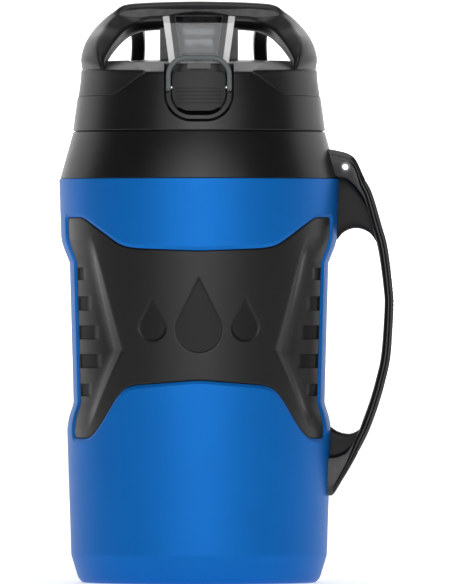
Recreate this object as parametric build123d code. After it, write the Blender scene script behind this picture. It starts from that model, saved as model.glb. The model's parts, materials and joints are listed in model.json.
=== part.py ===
from build123d import *
from math import cos, radians, sin
import os

# Large insulated water jug, 64 fl oz (1.9 litre). Millimetres, +Z up.
# The origin is the centre of the base on the jug's axis; -Y is the front, +X the handle side.

# ---- driving dimensions: insulated body ----
BASE_R = 60.6            # flat of the base
BASE_EDGE = (62.9, 2.6)  # end of the small base radius (r, z)
CHAMFER_TOP = (66.5, 14.5)
BODY_TOP = (72.8, 209.8)
SHELL_WALL = 5.4         # outer shell, thick enough to carry the grip recess
WAIST = ((68.7, 83.1), (65.3, 93.3), (67.3, 166.2), (71.6, 177.0))
RIDGE = ((80.0, 64.5), (121.0, 43.0), (180.0, 58.5))  # waist edge: (z, angle from the front)
RIDGE_LEAN = 28.0        # how far the ridge wall turns away from the radius, degrees
WAIST_DEPTH = 4.0
FILL_HOLE_R = 9.0        # hole in the base through which the foam is poured

# ---- grip panels ----
PANEL_HALF = ((0, 173.9), (33, 175.2), (40.4, 176.5), (60.8, 191.3), (90, 191.3), (90, 73.5),
              (57.2, 73.5), (51.8, 79.6), (40.5, 98.4), (36, 101), (0, 103.8))  # front view (x, z)
GRIP_HALF_ANGLE = 74.5
GRIP_SINK = 1.0          # panel face below the shell face
GRIP_THICK = 2.4
POCKET_DEPTH = 1.3
POCKET_OUTER = 72.7
POCKETS = ((163.7, 157.2, 62.0), (148.8, 141.3, 57.3), (133.7, 126.4, 51.8),
           (118.9, 111.5, 50.2), (103.5, 96.9, 59.0))  # (top z, bottom z, inner angle)
MARK_Z = 138.8           # centre of the drop mark
MARK_DEPTH = 0.5
DROPS = ((0, -7, 12), (-24, -6, 7), (24, -6, 7))  # x, z from the mark's centre, radius
DROP_TIP = 2.2           # height of a drop's point above its centre, in radii
DROP_TANGENT = 27        # where the drop's sides leave its circle, degrees above the middle

# ---- inner liner and neck ----
LINER_WALL = 1.8
LINER_BOTTOM = (54.6, 13.0)
LINER_TOP = (58.4, 198.0)
LINER_CORNER = 12.0
LINER_SHOULDER = 8.0     # height of the slope between the liner's wall and its neck
NECK_R = 53.4
NECK_WALL = 2.2
NECK_TOP = 249.4
FOAM_TOP = 203.6
GASKET_LIP = 1.2         # the gasket overhangs the neck's rim by this much

# ---- screw thread between neck and lid ----
LEAD = 15.0
STARTS = 3
THREAD_HEIGHT = 1.4
THREAD_GAP = 0.4
NECK_THREAD = (239.0, 0.0, 160.0)     # start z, start angle, sweep
LID_THREAD = (237.75, 30.0, 100.0)
THREAD_ROOT_HALF, THREAD_CREST_HALF, THREAD_BURIED = 1.3, 0.5, 0.4

# ---- shoulder collar ----
COLLAR = ((72.1, 210.3), (65.4, 234.3))
COLLAR_WALL = 2.4
COLLAR_TONGUE = 2.0      # wall of the ring that stands inside the shell's top edge

# ---- lid ----
LID_SKIRT = ((65.6, 235.2), (63.2, 252.2), (61.2, 263.6))
LID_DOME = ((60.2, 264.9), (48.0, 270.2), (28.0, 271.7), (0.0, 272.0))
LID_WALL = 2.2
LID_LINER_R = NECK_R + THREAD_HEIGHT + THREAD_GAP
LID_LINER_WALL = 1.8
LID_DISC = (251.4, 253.6)
LID_FOAM = (260.4, 54.6) # top z, radius
CHEEK_LAYER = 1.6
CHEEK_STEP = ((44.5, 252.5), (90, 252.5), (90, 275), (27.7, 275), (27.7, 264.7))
CHEEK_FACE = ((46, 252.5), (62.7, 252.5), (61.4, 262.4), (61.3, 264.5), (60.2, 265.5), (48, 270.8),
              (46, 271))
POCKET_HALF = 18.0       # button pocket in the front of the lid
POCKET_BOTTOM = 238.9
POCKET_FLOOR_R = 58.5
POCKET_BACK = -50.0
POCKET_STEP = 254.6
POCKET_CORNER = 14.0
POCKET_JACKET = 2.0      # wall round the pocket inside the lid

# ---- carry handle ----
CROWN_FRONT, CROWN_REAR = 6.0, 26.0
ARCH_FOOT = ((61.5, 262), (61.2, 272), (54.5, 288.1), (44.4, 297.4))    # front view, outer side
ARCH_CROWN = ((39.3, 300.7), (20, 302.3), (0, 302.6))
ARCH_UNDER = ((0, 287.5), (20, 287.5))
ARCH_GRIP = ((20, 287.5), (36.8, 283.5), (47.9, 270.2), (49.5, 262))    # edge of the hand opening
ARCH_FRONT = ((-37, 262), (-31, 272), (-16, 282), (CROWN_FRONT, 291))   # side view (y, z)
ARCH_REAR = ((CROWN_REAR, 291), (36, 282), (43, 272), (46, 262))
ARCH_TOP = (299.5, 302.7)                                               # edges and middle of the crown
ARCH_DOME = ((61.7, 255), (61.7, 271), (59.1, 281), (54.6, 288.1), (47.5, 296), (47, 304))
HANDLE_CORE_INSET = 3.4
RELIEF_HALF = 22.0       # the crown's front lip stops this far from the middle, behind the cover

# ---- fence hooks behind the crown ----
HOOK_PATH = ((35.6, 25.0, 293.0), (31.8, 46.5, 283.0), (32.6, 52.0, 268.6))
HOOK_SECTION = (7.0, 5.0, 1.2)         # width, thickness, corner radius

# ---- spout, cover and hinge ----
SPOUT = (12.4, -43.5, -27.5, 289.0)   # half-width, front y, rear y, top z
SPOUT_WALL = 1.7
SPOUT_CORNER = 6.0
VENT_Y = -22.0
VENT_R = 1.6
HINGE = (-12.0, 277.0)                # y, z of the cover's hinge
PIN_R = 1.25
PIN_FIT = 0.05
BARREL_R = 4.2
COVER_SIDE = ((-52, 266), (-48.4, 290), (-44.5, 296.5), (-26, 296.5))   # side view, front to top
COVER_CAVITY = ((-50, 260), (-46.4, 290), (-44.5, 293), (-26.5, 293), (-17.5, 284), (-17.5, 260))
COVER_SHOULDER = (18.7, 293.3)         # where the flared sides meet the arched top
COVER_TOP = 296.1
COVER_FOOT = 266.0
COVER_SHOULDER_BACK = -25.5            # the flared sides end here, in front of the posts
CATCH = ((-11, 269), (11, 269), (8.3, 275.5), (-8.3, 275.5))
CATCH_Y = (-57.5, -49.0)
CATCH_LIP = ((-6, 6), (-57.5, -55.0), (266.4, 270))
SEAL_GROW = 0.8
SEAL_Z = (SPOUT[3] + 0.3, 292.95)
SPRING_WIRE, SPRING_TURNS, SPRING_PITCH = 0.4, 6, 1.2
SPRING_SLOT_HALF = 7.0
COVER_REAR_HALF = 15.0
COVER_INNER_HALF = 13.7
POST = (15.4, 20.3)                   # inner and outer half-width of the hinge posts

# ---- button, bezel and lock ring ----
BUTTON_HALF = 13.7
BUTTON_Z = (244.6, 265.2)
BUTTON_BACK = -54.8
BUTTON_GROOVES = (256.1, 254.3, 252.4, 250.5, 248.6)
BUTTON_FACE = ((64.3, 243), (62.5, 256), (61.5, 266))    # (r, z)
BUTTON_CORNERS = (9.0, 3.5)            # lower and upper
BUTTON_CROWN = 0.8                     # rise of the top edge towards the middle
BUTTON_TAIL_R = 61.0                   # the button's lower part stays outside this radius
GROOVE_HALF_LENGTH, GROOVE_HALF_WIDTH, GROOVE_DEPTH = 11.4, 0.35, 0.6
BUTTON_WIRE, BUTTON_TURNS, BUTTON_COIL_R = 0.3, 3, 2.2
BUTTON_COIL = (9.0, 260.0)             # x, z of the two return springs
BEZEL = (16.9, 14.6, 240.4, 242.2, 253.8)  # outer and inner half-width, outer, inner, top z
RING = (17.05, 14.45, 273.2, 270.2, 254.7)  # outer and inner half-width, outer, inner, end z
RING_Y = (-62.2, -59.4)
RING_PIVOT = (-60.8, 256.6)
RING_PIN_R = 0.75
RING_PIN_REACH = (13.9, 19.5)
RING_TOOTH = (2.9, 269.3, 270.6)       # half-width, bottom and top z
BAND_CORNER = 13.0

# ---- side handle ----
STRAP_HALF = 11.5
WEB_HALF = 4.5
STRAP_EDGE = ((77.9, 222.7), (81.7, 219.2), (90.0, 202.2), (98.3, 172.9), (101.3, 144.9),
              (99.6, 118.2), (93.6, 93.3), (86.7, 75.4), (69.9, 46.1))
HANDLE_ROOT_X = 60.0                    # the handle's outlines close here, inside the body
HANDLE_TOP, HANDLE_FOOT = (69.2, 225.2), (68.6, 45.3)
OPENING = ((72.0, 178.5), (81.7, 184.1), (91.9, 177.6), (96.4, 142.7), (93.2, 110.1), (86.3, 86.7),
           (76.8, 77.5), (68.6, 81.0))
UPPER_WEB = ((60, 211.5), (74.0, 210.9), (83.5, 202.9), (90, 190.7), (92.3, 176))
LOWER_WEB = ((60, 65.0), (67.1, 64.8), (74.2, 66.2), (81.6, 73.4), (85.0, 86.0))
STRIP_DEPTH = 1.6
STRIP_INSET = 1.5        # the soft strip is narrower than the strap by this much each side
STRIP_Z = (66, 208)
GROOVE_Z = (70, 204)
STRAP_GROOVE_DEPTH = 0.5
STRAP_GROOVE = (2.4, 3.2)
EYE = (76.1, 216.1)
EYE_BORE_R = 1.57
EYE_WALL = 0.55
FAR = 120.0


def revolved(*points):
    """A solid of revolution about the jug's axis from (r, z) corners."""
    return revolve(Plane.XZ * make_face(Polyline(*points, close=True)), Axis.Z, 360)


def slab(face, front, back):
    """A front-view outline (x, z) extruded from y = front to y = back."""
    return Pos(0, back, 0) * extrude(Plane.XZ * face, amount=back - front)


def cross_slab(face, half):
    """A side-view outline (y, z) extruded to both sides of x = 0."""
    return extrude(Plane.YZ * face, amount=half, both=True)


def block(x, y, z):
    """A box from three (low, high) pairs."""
    size = [high - low for low, high in (x, y, z)]
    middle = [(high + low) / 2 for low, high in (x, y, z)]
    return Pos(*middle) * Box(*size)


def both_sides(solid):
    return solid + mirror(solid, Plane.YZ)


def sector(start, end, low, high):
    """A wedge about the axis between two angles, measured from the front towards +X."""
    corners = [(FAR * sin(radians(a)), -FAR * cos(radians(a))) for a in (start, (start + end) / 2, end)]
    return Pos(0, 0, low) * extrude(make_face(Polyline((0, 0), *corners, close=True)), amount=high - low)


def body_radius(z):
    slope = (BODY_TOP[0] - CHAMFER_TOP[0]) / (BODY_TOP[1] - CHAMFER_TOP[1])
    return CHAMFER_TOP[0] + slope * (z - CHAMFER_TOP[1])


def waist_wedge(inset):
    """The front right region that the waist takes in, bounded by the leaning ridge wall."""
    faces = []
    for z, angle in RIDGE:
        r = body_radius(z) - WAIST_DEPTH
        lean = radians(angle + RIDGE_LEAN)
        along = Vector(cos(lean), sin(lean))
        ridge = Vector(r * sin(radians(angle)), -r * cos(radians(angle)))
        inner = ridge + Vector(-sin(lean), cos(lean)) * inset
        a = inner - along * 30
        b = inner - along * (inner.Y / along.Y)
        faces.append(Pos(0, 0, z) * make_face(
            Polyline((a.X, a.Y), (b.X, b.Y), (FAR, 0), (FAR, a.Y), close=True)))
    return loft(faces, ruled=True)


def waist_cut(inset):
    ring = revolved(*[(r - inset, z) for r, z in WAIST], (95, WAIST[3][1]), (95, WAIST[0][1]))
    corner = ring & waist_wedge(inset)
    front = both_sides(corner)
    return front + mirror(front, Plane.XZ)


def jug_form(inset, top):
    """The body's outer form, waist included, brought inwards by inset."""
    plain = revolved((0, inset), (BASE_R - 0.4 * inset, inset),
                     (BASE_EDGE[0] - 0.8 * inset, BASE_EDGE[1] + 0.7 * inset),
                     (CHAMFER_TOP[0] - inset, CHAMFER_TOP[1]), (body_radius(top) - inset, top), (0, top))
    return plain - waist_cut(inset)


def panel_outline():
    """The front grip panel as a prism along Y, closed at the sides by radial edges."""
    face = make_face(Polyline(*PANEL_HALF, close=True))
    face = face + mirror(face, Plane.YZ)
    wedge = sector(-GRIP_HALF_ANGLE, GRIP_HALF_ANGLE, 60, 200)
    return slab(face, -FAR, 0) & wedge


def drop_outline(x, z, radius):
    """A plain water drop: a circle whose tangents meet in a point above."""
    tip = DROP_TIP * radius
    angle = radians(DROP_TANGENT)
    side = (radius * cos(angle), radius * sin(angle))
    edge = ThreePointArc((-side[0], side[1]), (0, -radius), side)
    face = make_face(edge + Polyline(side, (0, tip), (-side[0], side[1])))
    return Pos(x, z) * face


def drop_mark():
    """Three drops in a row, sunk into the panel."""
    faces = [drop_outline(x, MARK_Z + rise, radius) for x, rise, radius in DROPS]
    return slab(faces[0] + faces[1:], -FAR, 0)


def grip(panel):
    plate = panel & (jug_form(GRIP_SINK, 200) - jug_form(GRIP_SINK + GRIP_THICK, 201))
    pockets = [sector(inner, POCKET_OUTER, low, high) for high, low, inner in POCKETS]
    pockets = pockets[0] + pockets[1:]
    sunk = both_sides(pockets) - jug_form(GRIP_SINK + POCKET_DEPTH, 200)
    mark = drop_mark() - jug_form(GRIP_SINK + MARK_DEPTH, 200)
    return plate - sunk - mark


def outer_shell(panel):
    recess = panel - jug_form(GRIP_SINK + GRIP_THICK, 200)
    shell = jug_form(0, BODY_TOP[1]) - jug_form(SHELL_WALL, BODY_TOP[1] + 1)
    shell = shell - recess - mirror(recess, Plane.XZ)
    fill_hole = Pos(0, 0, SHELL_WALL / 2) * Cylinder(FILL_HOLE_R, SHELL_WALL + 2)
    return shell - fill_hole


def foam_fill_plug():
    r, tip = FILL_HOLE_R - 0.1, SHELL_WALL + 1.6
    return revolved((0, 0), (r, 0), (r, SHELL_WALL), (r - 2, tip), (0, tip))


def liner_outline(grow):
    """Corners of the liner's cavity, grown outwards by the wall."""
    (low_r, low_z), (top_r, top_z) = LINER_BOTTOM, LINER_TOP
    return ((0, low_z - grow), (low_r - LINER_CORNER, low_z - grow),
            (low_r + grow, low_z + LINER_CORNER - grow), (top_r + grow, top_z),
            (NECK_R - NECK_WALL + grow, top_z + LINER_SHOULDER + grow))


def thread(root_r, crest_r, start_z, start_angle, sweep_angle):
    """One ridge of the screw thread, its root buried in the wall at root_r."""
    out = 1 if crest_r > root_r else -1
    buried_r = root_r - out * THREAD_BURIED
    section = make_face(Polyline((buried_r, -THREAD_ROOT_HALF), (crest_r, -THREAD_CREST_HALF),
                                 (crest_r, THREAD_CREST_HALF), (buried_r, THREAD_ROOT_HALF), close=True))
    path = Helix(pitch=LEAD, height=LEAD * sweep_angle / 360, radius=root_r)
    ridge = sweep(Plane.XZ * section, path=path, is_frenet=True)
    return Pos(0, 0, start_z) * Rot(0, 0, start_angle) * ridge


def threads(root_r, crest_r, layout):
    start_z, start_angle, sweep_angle = layout
    return [thread(root_r, crest_r, start_z, start_angle + 360 / STARTS * i, sweep_angle)
            for i in range(STARTS)]


def inner_liner():
    cavity = revolved(*liner_outline(0), (NECK_R - NECK_WALL, NECK_TOP + 1), (0, NECK_TOP + 1))
    wall = revolved(*liner_outline(LINER_WALL), (NECK_R, LINER_TOP[1] + 10), (NECK_R, NECK_TOP),
                    (0, NECK_TOP))
    liner = wall - cavity
    for ridge in threads(NECK_R, NECK_R + THREAD_HEIGHT, NECK_THREAD):
        liner = liner + ridge
    return liner


def foam_insulation():
    hollow = revolved(*liner_outline(LINER_WALL), (NECK_R, LINER_TOP[1] + 10), (0, LINER_TOP[1] + 10))
    return jug_form(SHELL_WALL, FOAM_TOP) - hollow - foam_fill_plug()


def shoulder_collar():
    (low_r, low_z), (top_r, top_z) = COLLAR
    tongue_r = body_radius(205) - SHELL_WALL - 0.1
    tongue_inner, tongue_z, bore = tongue_r - COLLAR_TONGUE, FOAM_TOP + 0.6, NECK_R + 0.1
    return revolved((low_r, low_z), (top_r, top_z), (bore, top_z), (bore, top_z - COLLAR_WALL),
                    (top_r - COLLAR_WALL - 1, top_z - COLLAR_WALL),
                    (low_r - 2 * COLLAR_WALL, low_z + COLLAR_TONGUE), (tongue_inner, low_z),
                    (tongue_inner, tongue_z), (tongue_r, tongue_z), (tongue_r, low_z))


def lid_envelope(inset, dome_drop):
    skirt = [(r - inset, z) for r, z in LID_SKIRT]
    dome = [(max(r - inset, 0), z - dome_drop) for r, z in LID_DOME]
    return revolved((0, LID_SKIRT[0][1]), *skirt, *dome)


def pocket_outline(half, bottom, top, corner):
    face = make_face(Polyline((-half, top), (-half, bottom), (half, bottom), (half, top), close=True))
    return fillet(face.vertices().group_by(Axis.Y)[0], corner)


def pocket_solid(half, bottom, floor_r, back, step):
    """The button pocket: shallow over the threaded part, deeper above it."""
    prism = slab(pocket_outline(half, bottom, 280, POCKET_CORNER), -FAR, back)
    core = Pos(0, 0, (230 + step) / 2) * Cylinder(floor_r, step - 230)
    return prism - core


def cheek_zone():
    """Front-view area of the lid that the carry handle's over-mould covers, both sides."""
    return both_sides(slab(make_face(Polyline(*CHEEK_STEP, close=True)), -FAR, FAR))


def cheek_layer():
    """The over-mould's skirts on the sides of the lid."""
    return cheek_zone() & (revolved(*CHEEK_FACE) - lid_envelope(CHEEK_LAYER, CHEEK_LAYER))


def spout_prism(grow, low, high):
    half, front, rear, _ = SPOUT
    width, depth = 2 * (half + grow), rear - front + 2 * grow
    face = Pos(0, (front + rear) / 2) * RectangleRounded(width, depth, SPOUT_CORNER + grow)
    return Pos(0, 0, low) * extrude(face, amount=high - low)


def lid_shell():
    shell = lid_envelope(0, 0) - cheek_layer()
    hollow = lid_envelope(LID_WALL + CHEEK_LAYER, LID_WALL + CHEEK_LAYER)
    pocket = pocket_solid(POCKET_HALF, POCKET_BOTTOM, POCKET_FLOOR_R, POCKET_BACK, POCKET_STEP)
    wall = POCKET_JACKET
    jacket = pocket_solid(POCKET_HALF + wall, POCKET_BOTTOM - wall, POCKET_FLOOR_R - 1.2, POCKET_BACK + wall,
                          POCKET_STEP - 1)
    shell = shell - (hollow - jacket) - pocket
    holes = spout_prism(0, 250, 275) + Pos(0, VENT_Y, 270) * Cylinder(VENT_R, 12)
    pin = Pos(0, *RING_PIVOT) * Rot(0, 90, 0) * Cylinder(RING_PIN_R, 2 * RING_PIN_REACH[1])
    return shell - holes - pin


def lid_liner():
    outer = LID_LINER_R + LID_LINER_WALL
    low, flange = LID_SKIRT[0][1] + 0.2, LID_SKIRT[0][0] - LID_WALL - CHEEK_LAYER - 0.3
    cup = revolved((LID_LINER_R, low), (flange, low), (flange, low + 1.2), (outer, low + 1.2),
                   (outer, LID_DISC[1]), (0, LID_DISC[1]), (0, LID_DISC[0]), (LID_LINER_R, LID_DISC[0]))
    for ridge in threads(LID_LINER_R, LID_LINER_R - THREAD_HEIGHT, LID_THREAD):
        cup = cup + ridge
    return cup - spout_prism(0, 240, 260)


def lid_gasket():
    inner, outer = NECK_R - NECK_WALL - 0.4, NECK_R + GASKET_LIP
    low, high = NECK_TOP + 0.1, LID_DISC[0]
    return revolved((inner, low), (outer, low), (outer, high), (inner, high))


def lid_foam():
    low = LID_DISC[1] + 0.2
    high, reach = LID_FOAM
    puck = revolved((0, low), (reach, low), (reach, high), (0, high))
    clear = POCKET_JACKET + 0.2
    half = POCKET_HALF + clear
    jacket = block((-half, half), (-FAR, POCKET_BACK + clear), (low - 1, high + 1))
    return puck - jacket - spout_prism(0, low - 1, high + 1)


def drink_spout():
    low, high = LID_DISC[0], SPOUT[3]
    return spout_prism(0, low, high) - spout_prism(-SPOUT_WALL, low - 1, high + 1)


def shifted(points, distance):
    """Points moved sideways, to the right of the line that they make."""
    moved = []
    for i, (u, v) in enumerate(points):
        before, after = points[max(i - 1, 0)], points[min(i + 1, len(points) - 1)]
        run = Vector(after[0] - before[0], after[1] - before[1]).normalized()
        moved.append((u + distance * run.Y, v - distance * run.X))
    return moved


def arch_outline(inset):
    """Front view of the carry handle's right half, between its outer arch and the hand opening."""
    side, crown = shifted(ARCH_FOOT, -inset), shifted(ARCH_CROWN, -inset)
    under, hand = shifted(ARCH_UNDER, -inset), shifted(ARCH_GRIP, -inset)
    under[-1] = hand[0]
    return make_face(Spline(*side) + Line(side[-1], crown[0]) + Spline(*crown) + Line(crown[-1], under[0])
                     + Line(*under) + Spline(*hand) + Line(hand[-1], side[0]))


def arch_side(inset):
    """Side view of the carry handle: wide at the lid, narrow and set back at the crown."""
    front, rear = shifted(ARCH_FRONT, inset), shifted(ARCH_REAR, inset)
    low, high = ARCH_TOP[0] - 0.4 * inset, ARCH_TOP[1] - inset
    top = [(front[-1][0], low), (CROWN_FRONT + 4, high), (CROWN_REAR - 4, high), (rear[0][0], low)]
    return make_face(Spline(*front) + Polyline(front[-1], *top, rear[0]) + Spline(*rear)
                     + Line(rear[-1], front[0]))


def handle_dome(inset):
    """Round plan of the arch's shoulders, as wide as its front view at each height."""
    return revolved((0, ARCH_DOME[0][1]), *[(r - inset, z) for r, z in ARCH_DOME], (0, ARCH_DOME[-1][1]))


def arch(inset):
    right = slab(arch_outline(inset), -FAR, FAR) & cross_slab(arch_side(inset), FAR)
    return both_sides(right) & handle_dome(inset)


def carry_handle_core():
    return arch(HANDLE_CORE_INSET) - lid_envelope(0, 0)


def carry_handle():
    skirts = cheek_layer()
    relief = block((-RELIEF_HALF, RELIEF_HALF), (-FAR, CROWN_FRONT), (280, 310))
    return arch(0) - (lid_envelope(0, 0) - skirts) + skirts - carry_handle_core() - relief


def fence_hooks():
    """Two bent prongs from the crown's rear edge, open at their lower ends."""
    path = ThreePointArc(*HOOK_PATH)
    section = Plane(origin=path @ 0, z_dir=path % 0, x_dir=(1, 0, 0)) * RectangleRounded(*HOOK_SECTION)
    return both_sides(sweep(section, path=path)) - arch(0)


def hinge_bracket():
    y, z = HINGE
    foot = z - 15
    outline = make_face(Polyline((y - 9, foot), (y - 9, z + 6), (y - 4, z + 11), (y + 4, z + 11),
                                 (y + 9, z + 4), (y + 9, foot), close=True))
    inner, outer = POST
    post = Pos((inner + outer) / 2, 0, 0) * extrude(Plane.YZ * outline, amount=(outer - inner) / 2, both=True)
    posts = both_sides(post) - lid_envelope(0, 0)
    return posts - cover_pin()


def cover_pin():
    return Pos(0, HINGE[0], HINGE[1]) * Rot(0, 90, 0) * Cylinder(PIN_R, 2 * (POST[1] - 0.3))


def cover_front():
    """Front view of the spout cover: sides that flare upwards to a shallow arched top."""
    foot = (COVER_REAR_HALF, COVER_FOOT)
    shoulder = COVER_SHOULDER
    left_foot, left_shoulder = (-foot[0], foot[1]), (-shoulder[0], shoulder[1])
    return make_face(Line(left_foot, foot) + Line(foot, shoulder)
                     + ThreePointArc(shoulder, (0, COVER_TOP), left_shoulder)
                     + Line(left_shoulder, left_foot))


def spout_cover():
    y, z = HINGE
    side = make_face(Polyline(*COVER_SIDE, (y - 2, z + 8), (y + 2, z + 3.5), (y, z), (y, COVER_FOOT),
                              close=True))
    body = slab(cover_front(), -FAR, 0) & cross_slab(side, 25)
    barrel = Pos(0, y, z) * Rot(0, 90, 0) * Cylinder(BARREL_R, 2 * COVER_REAR_HALF)
    body = body + barrel
    for s in (-1, 1):
        low, high = sorted((s * COVER_REAR_HALF, s * 30))
        body = body - block((low, high), (COVER_SHOULDER_BACK, 20), (250, 310))
    body = body - cross_slab(make_face(Polyline(*COVER_CAVITY, close=True)), COVER_INNER_HALF)
    body = body + slab(make_face(Polyline(*CATCH, close=True)), *CATCH_Y) + block(*CATCH_LIP)
    clearance = revolved((0, 250), (70, 250), *[(r + 0.5, z + 0.6) for r, z in LID_DOME])
    body = body - clearance.intersect(block((-60, 60), (-54.5, 60), (240, 275)))
    slot = block((-SPRING_SLOT_HALF, SPRING_SLOT_HALF), (y - 4.5, y + 6), (z - 5, z + 4.5))
    bore = Pos(0, y, z) * Rot(0, 90, 0) * Cylinder(PIN_R + PIN_FIT, 40)
    return body - slot - bore


def cover_seal():
    return spout_prism(SEAL_GROW, *SEAL_Z)


def cover_spring():
    """Torsion coil round the hinge pin, in the slot of the cover's barrel."""
    length = SPRING_TURNS * SPRING_PITCH
    path = Helix(pitch=SPRING_PITCH, height=length, radius=PIN_R + 1.1)
    coil = sweep(Plane(origin=path @ 0, z_dir=path % 0) * Circle(SPRING_WIRE), path=path, is_frenet=True)
    return Pos(-length / 2, *HINGE) * Rot(0, 90, 0) * coil


def vent_valve():
    deck = LID_DOME[-1][1]
    valve = revolved((0, deck - 4), (VENT_R, deck - 4), (VENT_R, deck), (2 * VENT_R, deck),
                     (1.5 * VENT_R, deck + 1), (0, deck + 1.2))
    return Pos(0, VENT_Y, 0) * valve


def button_front(inset):
    face = [(r - inset, z) for r, z in BUTTON_FACE]
    return revolved((0, BUTTON_FACE[0][1]), *face, (0, BUTTON_FACE[-1][1]))


def push_button():
    low, high = BUTTON_Z
    shoulder = high - BUTTON_CROWN
    face = make_face(Polyline((-BUTTON_HALF, low), (BUTTON_HALF, low), (BUTTON_HALF, shoulder), (0, high),
                              (-BUTTON_HALF, shoulder), close=True))
    face = fillet(face.vertices().group_by(Axis.Y)[0], BUTTON_CORNERS[0])
    face = fillet(face.vertices().filter_by(lambda v: abs(v.X) > 10 and v.Y > 260), BUTTON_CORNERS[1])
    body = slab(face, -FAR, BUTTON_BACK) & button_front(0)
    body = body - Pos(0, 0, low) * Cylinder(BUTTON_TAIL_R, 2 * (POCKET_STEP + 0.6 - low))
    half = GROOVE_HALF_WIDTH
    grooves = [block((-GROOVE_HALF_LENGTH, GROOVE_HALF_LENGTH), (-FAR, -40), (z - half, z + half))
               for z in BUTTON_GROOVES]
    grooves = (grooves[0] + grooves[1:]) - button_front(GROOVE_DEPTH)
    return body - grooves


def button_springs():
    length = POCKET_BACK - BUTTON_BACK - 2 * BUTTON_WIRE - 0.1
    path = Helix(pitch=length / BUTTON_TURNS, height=length, radius=BUTTON_COIL_R)
    coil = sweep(Plane(origin=path @ 0, z_dir=path % 0) * Circle(BUTTON_WIRE), path=path, is_frenet=True)
    x, z = BUTTON_COIL
    return both_sides(Pos(x, BUTTON_BACK + BUTTON_WIRE + 0.05, z) * Rot(-90, 0, 0) * coil)


def u_band(outer_half, inner_half, outer_end, inner_end, other_end, corner):
    """A U-shaped band in front view; its round end is at outer_end."""
    def lobe(half, end, reach, radius):
        face = make_face(Polyline((-half, end), (half, end), (half, reach), (-half, reach), close=True))
        picked = face.vertices().group_by(Axis.Y)[0 if end < reach else -1]
        return fillet(picked, radius)
    beyond = other_end + (1 if other_end > outer_end else -1)
    return (lobe(outer_half, outer_end, other_end, corner)
            - lobe(inner_half, inner_end, beyond, corner - (outer_half - inner_half)))


def button_bezel():
    outer, inner, outer_z, inner_z, top = BEZEL
    band = slab(u_band(outer, inner, outer_z, inner_z, top, BAND_CORNER), -FAR, -40)
    ring = revolved((POCKET_FLOOR_R, 236), (65.1, 236), (62.8, 254), (POCKET_FLOOR_R, 254))
    return band & ring


def lock_ring():
    outer, inner, outer_z, inner_z, end = RING
    band = slab(u_band(outer, inner, outer_z, inner_z, end, BAND_CORNER), *RING_Y)
    half, low, high = RING_TOOTH
    tooth = block((-half, half), RING_Y, (low, high))
    bore = Pos(0, *RING_PIVOT) * Rot(0, 90, 0) * Cylinder(RING_PIN_R + PIN_FIT, 60)
    return band + tooth - bore


def ring_pins():
    low, high = RING_PIN_REACH
    pin = Pos((low + high) / 2, *RING_PIVOT) * Rot(0, 90, 0) * Cylinder(RING_PIN_R, high - low)
    return both_sides(pin)


def side_outer():
    """Outer edge of the side handle from the collar down to its foot, closed inside the body."""
    root_foot, root_top = (HANDLE_ROOT_X, HANDLE_FOOT[1]), (HANDLE_ROOT_X, HANDLE_TOP[1] - 0.2)
    return make_face(Polyline(root_foot, root_top, HANDLE_TOP, STRAP_EDGE[0]) + Spline(*STRAP_EDGE)
                     + Polyline(STRAP_EDGE[-1], HANDLE_FOOT, root_foot))


def strap_band(outer, inner):
    """A band along the strap's outer edge, between two distances in from it."""
    a, b = shifted(STRAP_EDGE, outer), shifted(STRAP_EDGE, inner)
    return make_face(Spline(*a) + Line(a[-1], b[-1]) + Spline(*b) + Line(b[0], a[0]))


def side_opening():
    root_low, root_high = (HANDLE_ROOT_X, OPENING[-1][1]), (HANDLE_ROOT_X, OPENING[0][1])
    return make_face(Polyline(root_low, root_high, OPENING[0]) + Spline(*OPENING)
                     + Line(OPENING[-1], root_low))


def side_webs():
    """Areas of the side handle that are thinner than the strap, above and below the opening."""
    webs = [make_face(Spline(*edge) + Polyline(edge[-1], (HANDLE_ROOT_X, edge[-1][1]), edge[0]))
            for edge in (UPPER_WEB, LOWER_WEB)]
    return webs[0] + webs[1]


def body_space():
    """Everything inside the outside of the body and the collar."""
    (low_r, low_z), (top_r, top_z) = COLLAR
    hat = revolved((0, BODY_TOP[1]), (low_r, BODY_TOP[1]), (low_r, low_z), (top_r, top_z), (0, top_z))
    return jug_form(0, BODY_TOP[1]) + hat


def handle_grip_strip():
    """The soft strip along the outer edge of the strap."""
    half = STRAP_HALF - STRIP_INSET
    return slab(strap_band(0, STRIP_DEPTH), -half, half) & block((84, FAR), (-FAR, FAR), STRIP_Z)


def side_handle():
    plate = side_outer() - side_opening()
    body = slab(plate, -WEB_HALF, WEB_HALF) + slab(plate - side_webs(), -STRAP_HALF, STRAP_HALF)
    web = STRAP_HALF - STRAP_GROOVE_DEPTH
    groove = slab(strap_band(*STRAP_GROOVE), -FAR, FAR) & block((84, FAR), (-FAR, FAR), GROOVE_Z)
    groove = groove - slab(plate, -web, web)
    eye = Pos(EYE[0], 0, EYE[1]) * Rot(90, 0, 0) * Cylinder(EYE_BORE_R + EYE_WALL, 60)
    return body - eye - handle_grip_strip() - groove - body_space()


def handle_eyelet():
    tube = Cylinder(EYE_BORE_R + EYE_WALL, 2 * STRAP_HALF) - Cylinder(EYE_BORE_R, 60)
    return Pos(EYE[0], 0, EYE[1]) * Rot(90, 0, 0) * tube


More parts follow.
